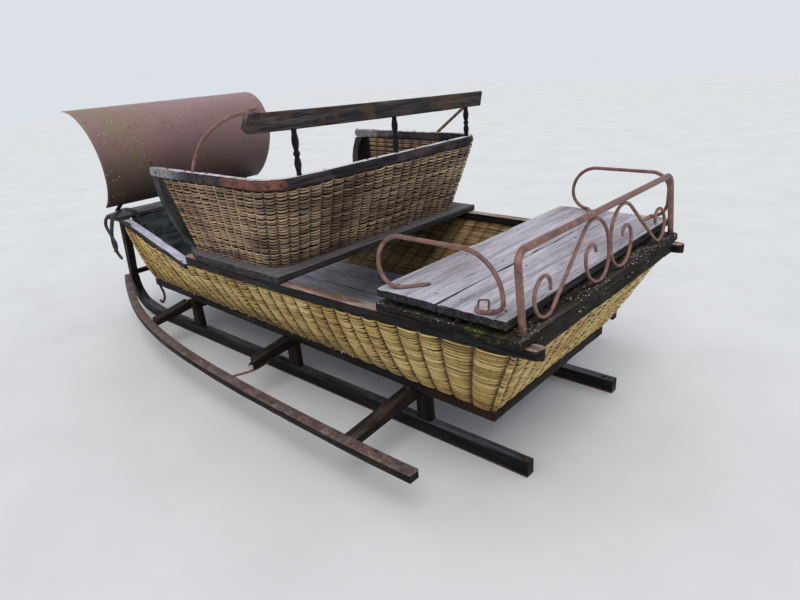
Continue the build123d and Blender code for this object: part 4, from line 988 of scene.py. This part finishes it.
strip = [Vector((rail_end + along, ROD_Y, left_top + 0.0072)) for along in (0.040, 0.020, 0.0)]

# Turned spindles: share of the height and radius in millimetres.
PROFILE = ((0.0, 8.6), (0.03, 9.4), (0.06, 8.2), (0.12, 9.4), (0.20, 11.6), (0.26, 12.2), (0.32, 11.0), (0.38, 8.6),
           (0.405, 7.6), (0.42, 9.4), (0.44, 11.2), (0.47, 12.0), (0.50, 11.2), (0.52, 9.4), (0.535, 7.6),
           (0.56, 8.4), (0.64, 11.2), (0.72, 12.6), (0.78, 12.2), (0.86, 10.4), (0.92, 8.8), (0.96, 9.6), (1.0, 8.8))
TURNS = [(math.cos(2 * math.pi * k / 20), math.sin(2 * math.pi * k / 20)) for k in range(20)]
parts = []
for y in (-0.500, -0.025, 0.475):
    height = RAIL_LOW + y * math.tan(TILT) + 0.004 - RIM_TOP
    rings = [(r / 1000, RIM_TOP + t * height) for t, r in PROFILE]
    verts = [(BACK_X + r * u, y + r * v, z) for r, z in rings for u, v in TURNS]
    parts.append((verts, capped(len(rings), len(TURNS))))
piece("turned_spindles", *joined(parts), "black", "black_turned_wood", ["back_spindles"])


# ---- dash
DASH = drawn((1.160, 0.6723), 147.6, ((0.306, -57.6), (0.230, -93.0)), 3.0)
DASH_FOOT, DASH_TOP, DASH_SKIN, DASH_COLUMNS = 0.485, 0.545, 0.0019, 72     # half widths, half thickness
low, high = DASH[0].y, max(p.y for p in DASH)
rng = random.Random(4)
dents = [(rng.uniform(-0.5, 0.5), rng.uniform(0.1, 0.9), rng.uniform(0.04, 0.12), rng.uniform(-0.0016, 0.0016))
         for _ in range(16)]
verts = []
for skin in (DASH_SKIN, -DASH_SKIN):
    for i, (p, ahead) in enumerate(zip(DASH, headings(DASH))):
        half = DASH_FOOT + (DASH_TOP - DASH_FOOT) * (p.y - low) / (high - low)
        t = i / (len(DASH) - 1)
        for y in (half * (-1 + 2 * k / DASH_COLUMNS) for k in range(DASH_COLUMNS + 1)):
            dent = sum(d * math.exp(-((y - dy) ** 2 + (0.7 * (t - dt)) ** 2) / s ** 2) for dy, dt, s, d in dents)
            verts.append((p.x - ahead.y * (skin + dent), y, p.y + ahead.x * (skin + dent)))
row, layer = DASH_COLUMNS + 1, len(verts) // 2
quads = strips(len(DASH), row, closed=False)
faces = [quad[::-1] for quad in quads] + [tuple(i + layer for i in quad) for quad in quads]
border = [*range(row), *range(2 * row - 1, layer, row), *range(layer - 2, layer - row - 1, -1),
          *range(layer - 2 * row, 0, -row)]
faces += [(a, b, b + layer, a + layer) for a, b in zip(border, border[1:] + border[:1])]
piece("dash_plate", verts, faces, "dash", "rusty_sheet", ["dash_sheet"])


# ---- fittings
# Corner plates of the seat rim: bent strips with round ends, each under four bolts.
CORNER_BANDS = [-1 + 2 * j / 10 for j in range(11)]
plates, heads = [], []
for side in (1, -1):
    line = np.array([(x, side * y, RIM_MIDDLE) for x, y in seat_line(*RIM, -0.0005, 60, 24, 90)
                     if x < -0.150 and y > 0.528])
    outward = [Vector(step).cross(Vector((0, 0, side))).normalized() for step in np.diff(line, axis=0)]
    marks = walked(line)
    length = marks[-1]
    stops = sorted(length * k / 440 for k in (*range(0, 441, 10), 1, 2, 4, 6, 434, 436, 438, 439))
    verts = []
    for at in stops:
        out = outward[leg_at(marks, at + 1e-9)]
        near = min(at, length - at)
        half = 0.0158 * math.sqrt(max(0.02, 1 - max(0.0, 1 - near / 0.016) ** 2))
        for v in CORNER_BANDS:
            rise = 0.0036 * math.sqrt(1 - abs(v) ** 8) * min(1.0, 0.3 + near / 0.004)
            verts.append(Vector(at_distance(line, marks, at)) + out * rise + Vector((0, 0, half * v)))
    plates.append((verts, strips(len(stops), len(CORNER_BANDS), closed=False)))
    for k in (leg_at(marks, share * length) for share in (0.07, 0.26, 0.80, 0.94)):
        heads.append(dome(Vector(line[k]) + outward[k] * 0.0033, 0.0062, 0.0034, outward[k]))
piece("rim_plates", *joined(plates), "plate", "rusty_iron", ["rim_corner_plates"])

# Bolt heads: top and sides of the rim, bench boards, and on each side the beams, the runner's tail and the rails.
RIM_BOLTS = [(x, side * y) for side in (1, -1)
             for x, y in ((0.345, 0.594), (0.22, 0.596), (0.09, 0.596), (-0.06, 0.596))]
RIM_BOLTS += [(-0.446, y) for y in (0.36, 0.14, -0.14, -0.36)]
SIDE_BOLTS = (
    # place on the left side, radius, height
    ((0.740, 0.385, 0.2025), 0.009, 0.006), ((-0.802, 0.385, 0.203), 0.009, 0.006),
    ((-1.250, 0.328, 0.0545), 0.008, 0.005),
    ((1.02, 0.414, 0.5995), 0.005, 0.002), ((0.30, 0.576, 0.5535), 0.005, 0.002))
heads += [dome((x, y, RIM_TOP - 0.0008), 0.0055, 0.0026) for x, y in RIM_BOLTS]
heads += [dome((x, side * 0.6072, RIM_MIDDLE), 0.006, 0.003, (0, side, 0)) for side in (1, -1) for x in (0.300, 0.05)]
heads += [dome((x + 0.004 * math.sin(9 * x * y), y, BOARD_TOP - 0.0008), 0.0042, 0.0012)
          for y in (-0.520, -0.175, 0.175, 0.520) for x in (-1.295, -1.150, -1.062, -0.915)]
heads += [dome((x, side * y, z), *size) for side in (1, -1) for (x, y, z), *size in SIDE_BOLTS]
piece("bolt_heads", *joined(heads), "bolt", "rusty_iron")

# Upright bolt on the rim's left end and pin on the rear rim, flanges under the hoop, strip under the left arm rod.
piece("loose_bolts", *joined([
    tube([(0.346, 0.594, 0.950), (0.348, 0.595, 0.965), (0.350, 0.596, 0.977)], 0.0045, 10),
    dome((0.350, 0.596, 0.976), 0.0085, 0.005),
    tube([(BACK_X, 0.089, 0.952), (BACK_X, 0.089, 0.964)], 0.0035, 8)]), "bolt", "rusty_iron")
piece("hoop_flanges", *joined([
    tube([(HOOP_X, side * HOOP_HALF, z) for z in (0.6205, 0.6230, 0.6250)], 0.0145, 20, 2, 0.05,
         lambda f: (1.0, 1.0) if f < 0.8 else (0.9, 0.9)) for side in (1, -1)]), "bolt", "rusty_iron")
piece("rod_strip", *ribbon(strip, (0, 0, 1), 0.018, 0.003), "iron", "rusty_iron")

# Leather strap round the nose: course, the way its wide side looks, width, thickness and taper of each run.
STRAP = (
    (((1.060, 0.492, 0.632), (1.090, 0.492, 0.629), (1.124, 0.493, 0.581), (1.155, 0.492, 0.523),
      (1.161, 0.491, 0.467), (1.135, 0.490, 0.426), (1.100, 0.490, 0.404)), (-0.8, 0.6, 0.1), 0.021, 0.005, 0.3),
    (((1.120, 0.470, 0.634), (1.150, 0.496, 0.624), (1.178, 0.500, 0.580), (1.150, 0.498, 0.530),
      (1.118, 0.497, 0.490), (1.130, 0.496, 0.452), (1.160, 0.495, 0.436)), (-0.9, 0.3, 0.1), 0.017, 0.005, 0.2),
    (((0.96, 0.470, 0.604), (1.060, 0.500, 0.636), (1.165, 0.438, 0.636), (1.215, 0.368, 0.637),
      (1.113, 0.364, 0.636), (1.000, 0.392, 0.602), (0.931, 0.412, 0.596)), (0, 0.15, 1), 0.020, 0.0045),
    (((1.082, 0.343, 0.606), (0.960, 0.392, 0.592), (0.846, 0.422, 0.582), (0.760, 0.452, 0.574),
      (0.697, 0.465, 0.566), (0.690, 0.452, 0.556), (0.640, 0.456, 0.560), (0.574, 0.475, 0.558),
      (0.480, 0.515, 0.556), (0.396, 0.548, 0.548)), (-0.2, 0.5, 1), 0.017, 0.004, 0.2))
piece("nose_strap", *joined([ribbon(curve_through(course), *shape) for course, *shape in STRAP]), "leather",
      "dark_timber")
hook = curve_through([(1.080, 0.320, 0.224), (1.094, 0.322, 0.216), (1.088, 0.322, 0.192), (1.070, 0.322, 0.165),
                      (1.070, 0.322, 0.135), (1.091, 0.322, 0.106), (1.110, 0.322, 0.094), (1.130, 0.322, 0.102)])
piece("sill_hook", *tube(hook, 0.0065, 10, 4, 0.1), "bolt", "rusty_iron")

# Splinters at the break of the left middle arm.
rng = random.Random(8)
slivers = []
for k in range(16):
    root = Vector((-0.078 + rng.uniform(-0.022, 0.022), 0.545, 0.150 + rng.uniform(-0.006, 0.014)))
    reach = Vector((rng.uniform(-0.012, 0.012), rng.uniform(0.008, 0.024), rng.uniform(-0.012, 0.006)))
    slivers.append(tube([root, root + reach * 0.5, root + reach], rng.uniform(0.0015, 0.0035), 5, k, 0.2,
                        lambda f: (1 - 0.85 * f, 0.6 - 0.5 * f)))
piece("break_splinters", *joined(slivers), "darkY", "dark_timber")

# Frayed straw along the foot and the nose of the wicker.
rng = random.Random(21)
frays, tones = [], []
for side, word in ((1, "left"), (-1, "right")):
    tree = tree_of("tub_side_" + word)
    for k in range(260):
        x = rng.choice((rng.uniform(0.2, 1.05), rng.uniform(-0.6, 0.8), rng.uniform(0.75, 1.06)))
        z = rng.uniform(0.256, 0.300 if x < 0.75 else 0.48)
        hit = tree.ray_cast(Vector((x, side, z)), Vector((0, -side, 0)))[0]
        if hit is None:
            continue
        root = hit + Vector((0, side * 0.004, 0))
        reach = Vector((rng.uniform(-0.045, 0.015), side * rng.uniform(0.003, 0.013), rng.uniform(-0.016, 0.010)))
        bend = Vector((rng.uniform(-0.008, 0.008), 0, rng.uniform(-0.004, 0.002)))
        frays.append(tube([root, root + reach * 0.5 + bend, root + reach], 0.0012, 4, k, 0.3))
        tones += [rng.uniform(0.35, 1.0)] * len(frays[-1][0])
piece("straw_ends", *joined(frays), "straw", "wicker", tone_and_shade=tones)

# ---- floor
bpy.ops.mesh.primitive_plane_add(size=40, location=(0, 0, -0.0005))
ground = bpy.context.object
ground.name = "studio_ground"
ground.data.materials.append(MAT["stage"])
